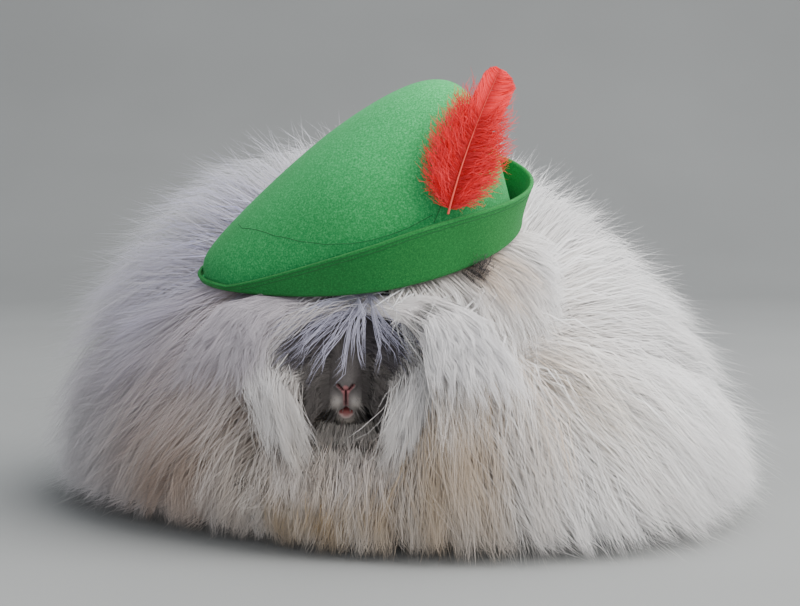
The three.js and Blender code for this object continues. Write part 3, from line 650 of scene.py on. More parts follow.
def mouth_depth(x, z):
    """How far a place lies inside the open mouth; under 0 it is outside."""
    upper = LIPS["apex"] - LIPS["slope"] * np.abs(x) - z
    lower = z - LIPS["lower"] - LIPS["bow"] * x * x
    return np.minimum(upper, lower)


def spot(x, z, middle, size):
    """1 at a place, falling off round it within about a size."""
    return np.exp(-(((x - middle[0]) / size[0]) ** 2) - ((z - middle[1]) / size[1]) ** 2)


def eye_distance(p):
    """Distance of places on the head from the middle of the nearer eye."""
    return np.linalg.norm(np.stack([np.abs(p[:, 0]), p[:, 1], p[:, 2]], -1) - HEAD["eye"], axis=-1)


def carve_head(p):
    """Presses in nostrils, philtrum and mouth, and raises lips and lids; p lies on the skull."""
    x, z = np.abs(p[:, 0]), p[:, 2]
    low, high = CLEFT["low"], CLEFT["high"]
    off, t = to_line(x, z, NOSTRIL["line"])
    slit = bell(off, lerp(*NOSTRIL["wide"], t))
    wing = bell(off - NOSTRIL["wing_at"], NOSTRIL["wing_wide"]) * smooth(-13, -9, z)
    cleft = bell(x, CLEFT["wide"]) * smooth(low, low + 3, z) * smooth(high + 2, high, z)
    pads = spot(x, z, *PADS["raised"])
    depth = mouth_depth(x, z)
    opening = smooth(-0.3, LIPS["soft"], depth)
    deep = lerp(*MOUTH["deep"], smooth(MOUTH["from"], MOUTH["to"], z))
    lips = bell(depth + LIPS["rim"][0], LIPS["rim"][1])
    carved = RELIEF["slit"] * slit - RELIEF["wing"] * wing + RELIEF["cleft"] * cleft
    carved = carved - RELIEF["pad"] * pads + deep * opening - RELIEF["lip"] * lips
    inward = smooth(*MUZZLE, p[:, 1]) * carved
    far = eye_distance(p)
    lid = bell(far - HEAD["eye_radius"] - 0.4, 1.1)
    socket = smooth(HEAD["eye_radius"] - 0.4, HEAD["eye_radius"] - 2.0, far)
    outward = RELIEF["lid"] * lid - RELIEF["socket"] * socket
    return p + unit(p) * outward[:, None] + vec(0, 1, 0) * inward[:, None]


def face_tint(p):
    """Colour of the face at a place in the head's own frame."""
    x, y, z = np.abs(p[:, 0]), p[:, 1], p[:, 2]
    low = CLEFT["low"]
    front = smooth(*MUZZLE, y)
    off, _ = to_line(x, z, NOSTRIL["line"])
    depth = mouth_depth(x, z)
    tip = 0.75 * (front * smooth(3.6, 2.2, np.hypot(x * 1.1, (z + 10.5) * 0.8)))
    rims = 0.55 * front * smooth(1.5, 1.0, off)
    seam = 0.5 * front * smooth(2.4, 1.0, x) * ((z > low) & (z < -9))
    under_nose = front * smooth(0.75, 0.35, x) * smooth(low - 1, low + 1, z) * smooth(-10, -11.5, z)
    layers = {
        "pale": smooth(-18, 6, y),
        "chin": front * smooth(-31, -36, z),
        "pad": 0.9 * spot(x, z, *PADS["pale"]) * front,
        "pink": np.maximum(np.maximum(tip, rims), seam),
        # Painted shade in the nostril slits and in the cleft under the nose.
        "slit": np.maximum(front * smooth(0.85, 0.45, off), under_nose),
        "lip": 0.8 * front * smooth(-1.9, -1.1, depth) * smooth(-27, -29, z),
    }
    tint = FACE_COLOURS["dark"]
    for name, amount in layers.items():
        tint = lerp(tint, FACE_COLOURS[name], amount[:, None])
    # Inside the open mouth: dark red painted shade under the upper lip, going over to gum lower down.
    inside = lerp(FACE_COLOURS["mouth_shade"], FACE_COLOURS["gum"], smooth(-25.2, -27.4, z)[:, None])
    return lerp(tint, inside, (front * smooth(-0.4, 0.3, depth))[:, None])


# The skin.
SKIN_COLOUR = srgb(196, 186, 178)
SKIN_LOWEST = 0.3


def ball(around, levels):
    """Angles over a ball, row by row: the angle to its pole on -Y, and the turn about it."""
    polar = np.linspace(0, math.pi, levels)
    turn = np.arange(around) * 2 * math.pi / around
    return np.meshgrid(polar, turn, indexing="ij")


def directions(polar, turn):
    """Directions from their angle to -Y and their turn about it."""
    return np.stack([np.sin(polar) * np.cos(turn), -np.cos(polar), np.sin(polar) * np.sin(turn)], -1)


def closed_ball(name, surface, around, levels, focus=1.0):
    """A closed mesh of a star-shaped surface; focus under 1 draws the rings to the -Y pole."""
    polar, turn = ball(around, levels)
    ways = directions(polar * lerp(focus, 1, polar / math.pi), turn)
    places = surface(np.concatenate([ways[:1, 0], ways[1:-1].reshape(-1, 3), ways[-1:, 0]]))
    ring, last = np.arange(around), len(places) - 1
    onward = (ring + 1) % around
    quads = grid_faces(levels - 2, around, True) + 1
    near_cap = np.stack([np.zeros(around, int), 1 + onward, 1 + ring], -1)
    far_cap = np.stack([np.full(around, last), last - around + ring, last - around + onward], -1)
    counts = np.concatenate([np.full(len(quads), 4), np.full(2 * around, 3)])
    corners = np.concatenate([quads[:, ::-1].ravel(), near_cap.ravel(), far_cap.ravel()])
    return add_object(name, build_mesh(name, places, counts, corners))


def ellipsoid(centre, half):
    """The surface of a rounded form that lies as the trunk does."""
    def surface(ways):
        shape = ways * half
        return centre + shape[:, :1] * ACROSS + shape[:, 1:2] * ALONG + shape[:, 2:] * UP
    return surface


def ear_surface(name):
    """The surface of a thin cup from the root of an ear to its tip."""
    root, tip = EARS[name]
    length = np.linalg.norm(tip - root)
    along = (tip - root) / length
    across = unit(np.cross(along, EARS["facing"]))
    out = np.cross(across, along)

    def surface(ways):
        t = (1 + ways[:, 1]) / 2
        rim = np.sqrt(np.clip(1 - ways[:, 1] ** 2, 0, 1))
        side, facing = (np.where(rim > 1e-4, ways[:, k] / np.maximum(rim, 1e-4), 0) for k in (0, 2))
        shape = 0.45 + 0.55 * np.sin(math.pi * np.clip(t * 0.85 + 0.1, 0, 1))
        wide = EARS["half_width"] * shape * np.minimum(1, rim * 1.6)
        deep = EARS["cup"] * (1 - 0.55 * t) * (side * wide / EARS["half_width"]) ** 2
        thick = EARS["thick"] * np.sign(facing) * np.sqrt(np.abs(facing)) * np.minimum(1, rim * 1.5)
        place = np.stack([side * wide, lerp(0, length, t), deep + thick], -1)
        return root + place[:, :1] * across + place[:, 1:2] * along + place[:, 2:] * out
    return surface


def skin_parts():
    """Trunk, neck, tail, feet, limbs and ears, as closed meshes."""
    forms = [
        ("trunk", BODY["centre"], BODY["half"], 48, 32),
        ("neck", on_trunk(*NECK["place"]), NECK["half"], 40, 24),
        ("tail_stub", on_trunk(*TAIL["place"]), TAIL["half"], 24, 16),
    ]
    for side in (1, -1):
        for kind, leg in LEGS.items():
            across, along = side * leg["across"], leg["along"]
            foot = on_trunk(across, along, leg["foot"][2] - FOOT_SUNK)
            limb = on_trunk(across * LIMB["across"], along * LIMB["along"], LIMB["height"])
            forms.append((f"foot_{kind}_{side}", foot, leg["foot"], 28, 18))
            forms.append((f"limb_{kind}_{side}", limb, leg["limb"], 28, 18))
    parts = [closed_ball(name, ellipsoid(at, half), *rows) for name, at, half, *rows in forms]
    ears = [closed_ball(f"ear_skin_{name}", ear_surface(name), 40, 40) for name in ("left", "right")]
    return parts + ears


def skin_tint(p):
    """Colour of the skin at a place in the rabbit's frame."""
    head = into_head(p)
    on_head = smooth(24, 8, head[:, 1]) * smooth(62, 52, np.linalg.norm(p - HEAD["place"], axis=-1))
    return lerp(SKIN_COLOUR, face_tint(head), on_head[:, None])


def fuse(body, parts):
    """Joins closed meshes to the body, and removes them."""
    for part in parts:
        union = body.modifiers.new("union", "BOOLEAN")
        union.operation = "UNION"
        union.solver = "EXACT"
        union.object = part
    apply_modifiers(body)
    for part in parts:
        old = part.data
        bpy.data.objects.remove(part)
        bpy.data.meshes.remove(old)


def read_points(mesh):
    co = np.empty(len(mesh.vertices) * 3, np.float32)
    mesh.vertices.foreach_get("co", co)
    return co.reshape(-1, 3).astype(float)


def make_skin(material):
    """One skin for the whole animal, its parts fused."""
    body, *parts = skin_parts()
    head = closed_ball("head_skin", lambda ways: from_head(carve_head(head_surface(ways))), 220, 150, 0.42)
    fuse(body, [*parts, head])
    mesh = body.data
    points = read_points(mesh)
    points[:, 2] = np.maximum(points[:, 2], SKIN_LOWEST)
    mesh.vertices.foreach_set("co", in_metres(points).astype(np.float32).ravel())
    set_tint(mesh, skin_tint(points))
    mesh.polygons.foreach_set("use_smooth", np.ones(len(mesh.polygons), bool))
    mesh.materials.clear()
    mesh.materials.append(material)
    mesh.update()
    body.name = mesh.name = "skin"
    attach(body, "root")
    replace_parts(body, *FLESH)


# The long coat.
WOOL = {
    "count": 51400,
    "piece": 12000,
    "lowest": -0.3,                    # sine of the angle of the lowest roots
    "reach": (24.0, 40.0),             # degrees from root to tip, seen from the middle of the body
    "under": (6.5, 13.2),              # degrees that the tips may go under the level of the middle
    "bend": 0.22,                      # share of the way to the tip at the bend
    "rise": 1.03,                      # share of the tip's depth at the bend
    "backward": 0.6,                   # how far the lie turns backward as it goes down
    "flows": (0, 20, -20, 38, -38),    # turns tried in this order where hat or face is in the way
    "hat_room": 3.0,
    "face_room": 7.0,
    "root": -0.04,                     # share of the depth at the root, just under the skin
    "floor": 1.5,                      # lowest height of a place in the coat
    "sway": 11,                        # degrees that the lie of a strand varies by
    "far": (0.86, 1.0),                # share of the depth that the tips reach
    "width": 0.4,
    "clumps": ((240, 0.32), (3000, 0.28)),
    "wave": 3.0,
    "loose": 2.0,
    "tilt": 0.16,
}
# In UNDER and HALO, root is how bright the painted shade leaves the roots of the strands.
UNDER = {
    "count": 7000, "width": 1.8, "far": (0.64, 0.84), "reach": (14.0, 24.0), "rise": 1.03, "wave": 3.0,
    "root": 0.94,
}
HALO = {
    "count": 6200, "width": 0.28, "far": (0.98, 1.06), "reach": (8.0, 24.0), "rise": 0.9, "wave": 5.0,
    "root": 1.0,
}
LIE = ALONG * WOOL["backward"] - UP

# The wool of the left flank also spreads from one place on the shoulder.
WHORL = {"place": vec(92, -95, 165), "strength": 0.9, "wide": 125}

# The tips lie a little outside the even outline on the right side, and inside it on the left.
FULLER = (0.04, 0.025)

# The parting between the shoulder and the flank, as places on the coat, and how deep and wide it lies.
CREASE = [
    vec(57, -80, 172), vec(66, -125, 150), vec(84, -150, 126), vec(108, -165, 80),
    vec(140, -160, 45),
]
CREASE_DEEP, CREASE_WIDE = 0.2, 16
# Tan along the parting: partly the wool's own colour, partly painted shade in the crease.
CREASE_TINT_AND_SHADE = (srgb(184, 160, 134), 0.5, 9)

WHITE, LAVENDER = srgb(248, 246, 246), srgb(214, 214, 232)
# The colour at the roots of the wool: warmer, and darker as painted shade deep in the coat.
ROOT_SHADE = srgb(250, 243, 236)
TINT_SPREAD = 0.04                     # how far brightness varies from strand to strand

# The markings are mottled by a share, in waves along two directions.
MOTTLE = (0.35, vec(0.1, 0.05, 0.12), vec(-0.07, 0.1, 0.09))

# Markings of the coat, some partly painted shade: place, radius, colour and strength.
MARKINGS_AND_PAINTED_SHADE = [
    # These five, on the -x side away from the key light, are partly the wool's own colour and partly
    # painted shade.
    (vec(-175, -105, 26), 72, srgb(174, 138, 100), 0.85),
    (vec(-60, -185, 10), 85, srgb(166, 140, 102), 0.85),
    (vec(-230, -10, 90), 100, srgb(176, 164, 168), 0.8),
    (vec(-150, -130, 120), 60, srgb(196, 178, 170), 0.8),
    (vec(-150, -20, 200), 120, srgb(178, 176, 214), 0.85),
    (vec(50, -60, 230), 60, LAVENDER, 0.5),
    (vec(42, -195, 42), 27, srgb(184, 152, 112), 0.7),
    (vec(101, -188, 38), 15, srgb(190, 154, 112), 0.7),
    (vec(135, -160, 62), 17, srgb(206, 172, 132), 0.7),
    (vec(83, -122, 156), 25, srgb(204, 176, 146), 0.8),
    (vec(150, -140, 60), 45, srgb(238, 220, 194), 0.5),
    # Low by the floor, like the first two: partly stains and partly painted shadow where the coat meets
    # the floor.
    (vec(30, -190, 6), 60, srgb(160, 136, 106), 0.7),
]


def coat_tint(p):
    """Colour of the wool near its tips at a place in the rabbit's frame, with some painted shade."""
    tint = np.tile(WHITE, (len(p), 1))
    share, one, other = MOTTLE
    patchy = 1 + share * np.sin(p @ one) * np.sin(p @ other + 1)
    for place, radius, colour, strength in MARKINGS_AND_PAINTED_SHADE:
        near = strength * patchy * bell(np.linalg.norm(p - place, axis=-1), radius)
        tint = lerp(tint, colour, near[:, None])
    colour, strength, wide = CREASE_TINT_AND_SHADE
    return lerp(tint, colour, strength * bell(from_crease(p), wide)[:, None])


def strand_tints(tips, steps, root=0.92):
    """Colours along strands: warmer at the root, with painted shade there; varied from strand to strand.
    """
    count = len(tips)
    base = coat_tint(tips) * (1 + TINT_SPREAD * rng.standard_normal((count, 1)))
    share = smooth(0.1, 0.8, np.linspace(0, 1, steps))[None, :, None]
    shade = lerp(ROOT_SHADE * root, 1.0, share)
    return np.clip(base[:, None] * shade, 0, BRIGHTEST)


def lie_of(ways, flow):
    """The way that the wool lies at directions from the middle of the body, turned aside by a flow."""
    place = BODY["middle"] + ways * reach(inside_coat, BODY["middle"], ways, steps=12)[:, None]
    away = place - WHORL["place"]
    near = WHORL["strength"] * bell(np.linalg.norm(away, axis=-1), WHORL["wide"])
    way = unit(LIE) + near[:, None] * unit(away)
    flat = unit(way - np.sum(ways * way, -1)[:, None] * ways)
    side = np.cross(ways, flat)
    return flat * np.cos(flow)[:, None] + side * np.sin(flow)[:, None]


def coat_place(ways, lie, degrees, share):
    """Places in the coat, some degrees along the lie: share 0 is on the skin and 1 at the tips."""
    angle = np.radians(degrees)[:, None]
    there = ways * np.cos(angle) + lie * np.sin(angle)
    inner = reach(inside_trunk, BODY["middle"], there)
    outer = reach(inside_coat, BODY["middle"], there)
    outer *= 1 - np.where(there[:, 0] < 0, *FULLER) * there[:, 0]
    place = BODY["middle"] + there * lerp(inner, outer, share)[:, None]
    place[:, 2] = np.maximum(place[:, 2], WOOL["floor"])
    return place


def from_crease(p):
    """The distance of places from the parting."""
    nearest = np.full(len(p), 1e9)
    for a, b in zip(CREASE, CREASE[1:]):
        t = np.clip((p - a) @ (b - a) / ((b - a) @ (b - a)), 0, 1)
        nearest = np.minimum(nearest, np.linalg.norm(p - a - t[:, None] * (b - a), axis=-1))
    return nearest


def coat_ways(count):
    """Directions from the middle of the body, spread evenly over the coat."""
    many = 3 * count
    up = rng.uniform(WOOL["lowest"], 1, many)
    turn = rng.uniform(0, 2 * math.pi, many)
    level = np.sqrt(1 - up * up)
    ways = np.stack([level * np.cos(turn), level * np.sin(turn), up], -1)
    size = reach(inside_coat, BODY["middle"], ways, steps=10)
    return ways[rng.random(many) < (size / size.max()) ** 2][:count]


def coat_curve(ways, lie, span, far, rise):
    """Root, bend and tip of strands of the coat, drawn in along the parting."""
    root = coat_place(ways, lie, np.zeros(len(ways)), WOOL["root"])
    bend = coat_place(ways, lie, WOOL["bend"] * span, rise * far)
    tip = coat_place(ways, lie, span, far)
    dent = CREASE_DEEP * bell(from_crease(tip), CREASE_WIDE)[:, None]
    return root, lerp(bend, BODY["middle"], dent), lerp(tip, BODY["middle"], dent)


def is_blocked(places):
    """Whether strands come into the hat, before the face or over the dark tip of the ear."""
    blocked = in_hat_space(places, WOOL["hat_room"]) | in_face_window(places, WOOL["face_room"])
    blocked |= np.linalg.norm(places - EAR_TIP["place"], axis=-1) < EAR_TIP["room"]
    return blocked.any(1)


def wool_paths(count, spans, reaches, rise):
    """Strands of the coat and their directions. A strand that is blocked in all its flows is left out."""
    ways = coat_ways(count)
    height = np.degrees(np.arcsin(ways[:, 2]))
    under = lerp(WOOL["under"][1], WOOL["under"][0], rng.random(count) ** 2)
    span = np.minimum(rng.uniform(*spans, count), np.maximum(height + under, 3))
    far = lerp(reaches[1], reaches[0], rng.random(count) ** 2)
    sway = np.radians(WOOL["sway"] * rng.standard_normal(count))
    paths = np.zeros((count, len(COAT_STEPS), 3))
    left = np.arange(count)
    for flow in WOOL["flows"]:
        lie = lie_of(ways[left], math.radians(flow) + sway[left])
        curve = coat_curve(ways[left], lie, span[left], far[left], rise)
        paths[left] = bezier(*curve, COAT_STEPS)
        left = left[is_blocked(bezier(*curve, OUTER_STEPS))]
    keep = np.ones(count, bool)
    keep[left] = False
    return paths[keep], ways[keep]


def uv_of(ways):
    """Place on an unwrap of the body: the turn round it and the height of the direction."""
    u = np.arctan2(ways[:, 1], ways[:, 0]) / (2 * math.pi) + 0.5
    return np.stack([0.01 + 0.98 * u, 0.01 + 0.98 * (ways[:, 2] + 1) / 2], -1)


def leaning(group, clump_lean, own_lean):
    """Small turns of normals, alike in each clump and a little apart in each strand."""
    clumps = clump_lean * rng.standard_normal((group.max() + 1, 3))[group]
    return (clumps + own_lean * rng.standard_normal((len(group), 3)))[:, None]


def clump_light(group, share):
    """Brightness that varies from clump to clump."""
    return 1 + share * rng.standard_normal(group.max() + 1)[group][:, None, None]


def mixed_widths(width, count):
    return width * np.exp(0.25 * rng.standard_normal(count))


def wool_pieces(name, paths, ways, widths, tints, shades, material):
    for number, start in enumerate(range(0, len(paths), WOOL["piece"])):
        part = slice(start, start + WOOL["piece"])
        strand_object(
            f"{name}_{number + 1}", paths[part], widths[part], ways[part], tints[part],
            uv_of(ways[part]), material, FLESH, 0.8, shades[part],
        )


def make_wool(material):
    """The long wool, drawn together in clumps within clumps."""
    paths, ways = wool_paths(WOOL["count"], WOOL["reach"], WOOL["far"], WOOL["rise"])
    for leaders, pull in WOOL["clumps"]:
        paths, group = clump(paths, leaders, pull)
    paths = wave(wave(paths, WOOL["wave"], group), WOOL["loose"])
    widths = mixed_widths(WOOL["width"], len(paths))
    tints = strand_tints(paths[:, -1], paths.shape[1])
    tints *= clump_light(group, 0.04)
    shades = unit(coat_normal(paths) + leaning(group, WOOL["tilt"], 0.06))
    wool_pieces("wool", paths, ways, widths, np.clip(tints, 0, BRIGHTEST), shades, material)


def make_layer(name, layer, material):
    """A layer of even strands: wide ones under the fine wool, or single fine hairs round it."""
    paths, ways = wool_paths(layer["count"], layer["reach"], layer["far"], layer["rise"])
    paths = wave(paths, layer["wave"])
    tints = strand_tints(paths[:, -1], paths.shape[1], root=layer["root"])
    widths = np.full(len(paths), layer["width"])
    wool_pieces(name, paths, ways, widths, tints, coat_normal(paths), material)


# The dark tip of the left ear, which shows beside the hat.
EAR_TIP = {
    "place": vec(49, -122, 175), "room": 17, "count": 260, "width": 0.4, "tint": srgb(84, 78, 80),
    "left": vec(-8, -42, 7), "right": vec(-5, -16, -8),
}


def make_ear_tips(material):
    for name in ("left", "right"):
        root, tip = EARS[name]
        along = unit(tip - root)
        count = EAR_TIP["count"]
        start = tip - along * rng.uniform(2, 16, (count, 1)) + 3.5 * rng.standard_normal((count, 3))
        bend = start + along * 9 + EAR_TIP[name] * [1, 0.5, 0.8]
        end = start + along * 12 + EAR_TIP[name] + 4 * rng.standard_normal((count, 3))
        paths, _ = clump(bezier(start, bend, end), 12, 0.5)
        outs = np.tile(vec(0, -0.8, 0.6), (count, 1))
        tints = np.tile(EAR_TIP["tint"], (count, paths.shape[1], 1))
        tints = np.clip(tints * (1 + 0.2 * rng.standard_normal((count, 1, 1))), 0, 1)
        strand_object(
            f"ear_tassel_{name}", paths, np.full(count, EAR_TIP["width"]), outs, tints,
            uv_of(unit(start - BODY["middle"])), material, [f"ear_{name}"],
        )


# The longer hair of the head, in fans. Places of root, bend and tip of the first and the last strand,
# with x measured from the middle of the head.
FANS = {
    "cheek": {
        "count": 1900, "width": 0.34, "spread": vec(6, 5, 7), "leaders": 60, "pull": 0.55, "lean": 0,
        "first": (vec(20, -104, 126), vec(72, -146, 138), vec(50, -164, 88)),
        "last": (vec(20, -108, 104), vec(46, -146, 108), vec(24, -166, 56)),
        "tint": (srgb(240, 238, 238), 0.5),
    },
    "mask": {
        "count": 700, "width": 0.36, "spread": vec(1.5, 2, 3), "leaders": 90, "pull": 0.25, "lean": 0,
        "first": (vec(9, -112, 120), vec(19, -132, 124), vec(25, -142, 114)),
        "last": (vec(9, -112, 90), vec(18, -130, 90), vec(24, -141, 80)),
        "tint": (srgb(92, 86, 83), 1.0),
    },
    "brow": {
        "count": 600, "width": 0.36, "spread": vec(3, 3, 4), "leaders": 60, "pull": 0.3, "lean": 0,
        "first": (vec(6, -100, 142), vec(24, -124, 144), vec(44, -138, 126)),
        "last": (vec(6, -104, 124), vec(20, -128, 126), vec(32, -140, 112)),
        "tint": (srgb(78, 72, 75), 1.0),
    },
    "chin": {
        "count": 1000, "width": 0.36, "spread": vec(2.5, 2.5, 2.5), "leaders": 60, "pull": 0.3, "lean": 0,
        "first": (vec(18, -108, 75), vec(24, -136, 73), vec(28, -162, 32)),
        "last": (vec(0, -108, 71), vec(0, -134, 68), vec(0, -164, 30)),
        "tint": (srgb(206, 199, 192), 0.85),
    },
    "bib": {
        "count": 1000, "width": 0.38, "spread": vec(6, 6, 6), "leaders": 80, "pull": 0.4, "lean": -5,
        "first": (vec(44, -106, 74), vec(50, -144, 80), vec(52, -176, 32)),
        "last": (vec(0, -110, 62), vec(0, -138, 62), vec(0, -174, 26)),
        "tint": (srgb(228, 220, 218), 0.45),
    },
    "lap": {
        "count": 1300, "width": 0.4, "spread": vec(9, 6, 8), "leaders": 70, "pull": 0.5, "lean": -18,
        "first": (vec(58, -100, 46), vec(60, -154, 52), vec(62, -196, 4)),
        "last": (vec(0, -100, 44), vec(0, -154, 50), vec(0, -196, 4)),
        "tint": (WHITE, 0.0),
    },
}
TEMPLE = {
    "count": 3000, "from": math.radians(-172), "to": math.radians(-2), "parting": (-84, 28),
    "root_inset": 26, "bulge": 5, "low": 7, "spread": 14, "drop": 64, "fan": (0.5, 0.1), "width": 0.3,
}

# Long hair that parts under the hat and frames the face: places across from its middle, and heights.
SWEEP = {
    "count": 2050, "width": 0.3, "leaders": 110, "pull": 0.5, "spread": (4.0, 4.0),
    "first": ((10, 152), (76, 168), (112, 98)),
    "last": ((6, 150), (58, 154), (53, 108)),
    "share": (0.55, 1.03, 0.99),
    # The tint of each side: that of the -x side, away from the key light, is greyer, partly the hair's own
    # colour and partly painted shade.
    "tints": ((srgb(232, 228, 230), 0.5), (srgb(190, 182, 190), 0.8)),
}

# The forelock, in wisps that part from one place under the hat. Tips are given from left to right.
FORELOCK = {
    "root": vec(11, -106, 158),
    "root_spread": vec(6, 2, 2),
    "tips": [
        vec(-66, -134, 126), vec(-60, -136, 119), vec(-54, -138, 123), vec(-48, -139, 115),
        vec(-42, -140, 122), vec(-36, -141, 116), vec(-29, -142, 121), vec(-22, -143, 111),
        vec(-15, -144, 119), vec(-5, -145, 109), vec(1, -145, 122), vec(9, -145, 116),
        vec(14, -145, 124), vec(21, -145, 114), vec(27, -144, 120), vec(33, -143, 116),
        vec(40, -142, 121), vec(47, -141, 114), vec(54, -140, 118), vec(62, -138, 118),
    ],
    "each": 9,
    "tint": srgb(180, 178, 198),
    "thick": vec(0.8, 0.8, 5.0),
    "arch": 13,
    "width": 0.3,
}


def coat_front(p):
    """How far the coat reaches to the front of places, as y."""
    ahead = np.tile(-vec(0, 1), (len(p), 1))
    return FACE["inner"] - reach(inside_coat, p * [1, 0, 1] + vec(0, FACE["inner"]), ahead)


FAN_SPREAD = (0.5, 1.0, 1.3)           # how far root, bend and tip stray in a fan


def fan_paths(fan, side):
    """Strands of a fan on one side of the face, which reach no further forward than the coat."""
    count = fan["count"]
    share = rng.random(count)[:, None] ** 0.6
    points = []
    for k, size in enumerate(FAN_SPREAD):
        middle = vec(HEAD["place"][0] + fan["lean"] * k / 2)
        place = lerp(fan["first"][k], fan["last"][k], share) * [side, 1, 1] + middle
        place = place + fan["spread"] * size * rng.standard_normal((count, 3))
        place[:, 1] = np.maximum(place[:, 1], coat_front(place) - 1)
        points.append(place)
    root, bend, tip = points
    return bezier(root, bend, lerp(bend, tip, rng.uniform(0.6, 1.1, (count, 1))))


def sweep_paths(side):
    """Long hair from under the hat, over the side of the face and down the coat."""
    count = SWEEP["count"]
    share = rng.random((count, 1))
    points = []
    for k, depth in enumerate(SWEEP["share"]):
        across, high = lerp(np.array(SWEEP["first"][k]), np.array(SWEEP["last"][k]), share).T
        place = np.stack([HEAD["place"][0] + side * across, 0 * high, high], -1)
        place[:, [0, 2]] += (0.4 + 0.4 * k) * np.array(SWEEP["spread"]) * rng.standard_normal((count, 2))
        place[:, 1] = lerp(FACE["inner"], coat_front(place), depth)
        points.append(place)
    root, bend, tip = points
    paths = bezier(root, bend, lerp(bend, tip, rng.uniform(0.5, 1.1, (count, 1))))
    blocked = in_hat_space(paths[:, 1:], 1).any(1) | in_face_window(paths[:, 2:], 0).any(1)
    return paths[~blocked]


def forelock_paths():
    """Thin wisps with gaps between them, through which the dark face shows."""
    middle = vec(HEAD["place"][0])
    tips = np.array(FORELOCK["tips"])
    which = np.repeat(np.arange(len(tips)), FORELOCK["each"])
    tip = tips[which] + middle + FORELOCK["thick"] * rng.standard_normal((len(which), 3))
    wisp_root = FORELOCK["root"] + middle + FORELOCK["root_spread"] * rng.standard_normal((len(tips), 3))
    root = wisp_root[which] + FORELOCK["thick"] * 0.4 * rng.standard_normal((len(which), 3))
    arch = FORELOCK["arch"] * (0.7 + 0.5 * rng.random(len(tips)))[which]
    bend = lerp(root, tip, 0.5) + np.stack([0 * arch, -0.9 * arch, 0.8 * arch], -1)
    bend += 0.6 * FORELOCK["thick"] * rng.standard_normal((len(which), 3))
    return wave(wave(bezier(root, bend, tip), 3.2, which), 1.0), which


def temple_paths():
    """Hair that comes out under the brim all round the near side of the hat and hangs over the coat."""
    turn = rng.uniform(TEMPLE["from"], TEMPLE["to"], TEMPLE["count"])
    low = TEMPLE["low"] * (0.7 + 0.8 * rng.random(len(turn)) ** 2)
    rx, ry = hat_outline(turn, TEMPLE["root_inset"])
    root = from_hat(np.stack([rx, ry, -low / 2], -1))
    bx, by = hat_outline(turn, -TEMPLE["bulge"] * rng.uniform(0.5, 1.1, len(turn)))
    bend = from_hat(np.stack([bx, by, -low], -1))
    out = np.stack([np.cos(turn), np.sin(turn), 0 * turn], -1)
    drop = TEMPLE["drop"] * rng.uniform(0.2, 1.15, len(turn))
    aside = bend[:, 0] - HEAD["place"][0]
    tip = bend + out * (TEMPLE["spread"] * rng.uniform(0.8, 1.2, len(turn)))[:, None] - UP * drop[:, None]
    tip[:, 0] += np.where(aside < 0, *TEMPLE["fan"]) * aside * rng.uniform(0.9, 1.1, len(turn))
    keep = (aside < TEMPLE["parting"][0]) | (aside > TEMPLE["parting"][1])
    paths = bezier(root[keep], bend[keep], tip[keep])
    return paths[~in_face_window(paths[:, 2:], 0).any(1)]


def wisps(paths, leaders, pull, sway, loose):
    """Draws strands together in wisps, and bends each wisp, and each strand a little by itself."""
    paths, group = clump(paths, leaders, pull)
    return wave(wave(paths, sway, group), loose), group


def hair_groups():
    """Name, paths, wisps, width and tint of each group of the longer hair."""
    for name, fan in FANS.items():
        for side in (1, -1):
            made = wisps(fan_paths(fan, side), fan["leaders"], fan["pull"], 2.5, 1.0)
            yield name, *made, fan["width"], fan["tint"]
    for side, tint in zip((1, -1), SWEEP["tints"]):
        made = wisps(sweep_paths(side), SWEEP["leaders"], SWEEP["pull"], 3, 1.2)
        yield "sweep", *made, SWEEP["width"], tint
    yield "temple", *wisps(temple_paths(), 200, 0.3, 3, 1.4), TEMPLE["width"], (WHITE, 0.0)
    yield "forelock", *forelock_paths(), FORELOCK["width"], (FORELOCK["tint"], 1.0)


def make_fans(material):
    groups = list(hair_groups())
    for number, (name, paths, group, width, (colour, share)) in enumerate(groups):
        count = len(paths)
        ways = unit(paths[:, 0] - HEAD["place"])
        outs = unit(unit(paths[:, 2] - HEAD["place"]) + vec(0, -0.6, 0))
        shades = unit(coat_normal(paths) + outs[:, None] + leaning(group, 0.26, 0.1))
        plain = strand_tints(paths[:, -1], paths.shape[1])
        tints = lerp(plain, colour * (1 - 0.12 * rng.random((count, 1, 1))), share)
        tints = np.clip(tints * clump_light(group, 0.05), 0, BRIGHTEST)
        strand_object(
            f"{name}_hair_{number + 1}", paths, mixed_widths(width, count), outs, tints,
            uv_of(ways), material, ["head"], 0.7, shades,
        )


# The short fur of the face. Its lengths and how far it stands up go by the distance from the nose, and its
# widths by its lengths. The lie is turned back from the nose, and "wide" is a share of half a turn.
FACE_FUR = {
    "count": 5600,
    "wide": 0.52,
    "back": vec(0, 6, -4),
    "lengths": ([0, 8, 16, 24, 40], [0.6, 2.2, 5, 15, 22]),
    "stand": ([12, 24, 34, 60], [0.25, 0.7, 1.1, 0.8]),
    "widths": ([1, 5, 16], [0.3, 0.4, 0.55]),
    "shade": np.linspace(0.85, 1.1, len(SHORT_STEPS)),
}
NEARBY = 0.02                          # how far apart places on the skull are for its slope


def skull_normal(ways, skin):
    """The way that the skull faces at places on it, which lie in some directions from its middle."""
    side = unit(np.cross(ways, UP + vec(1e-4, 0, 0)))
    over = np.cross(side, ways)
    east = head_surface(unit(ways + side * NEARBY)) - skin
    north = head_surface(unit(ways + over * NEARBY)) - skin
    normal = unit(np.cross(east, north))
    return normal * np.sign(np.sum(normal * ways, -1))[:, None]


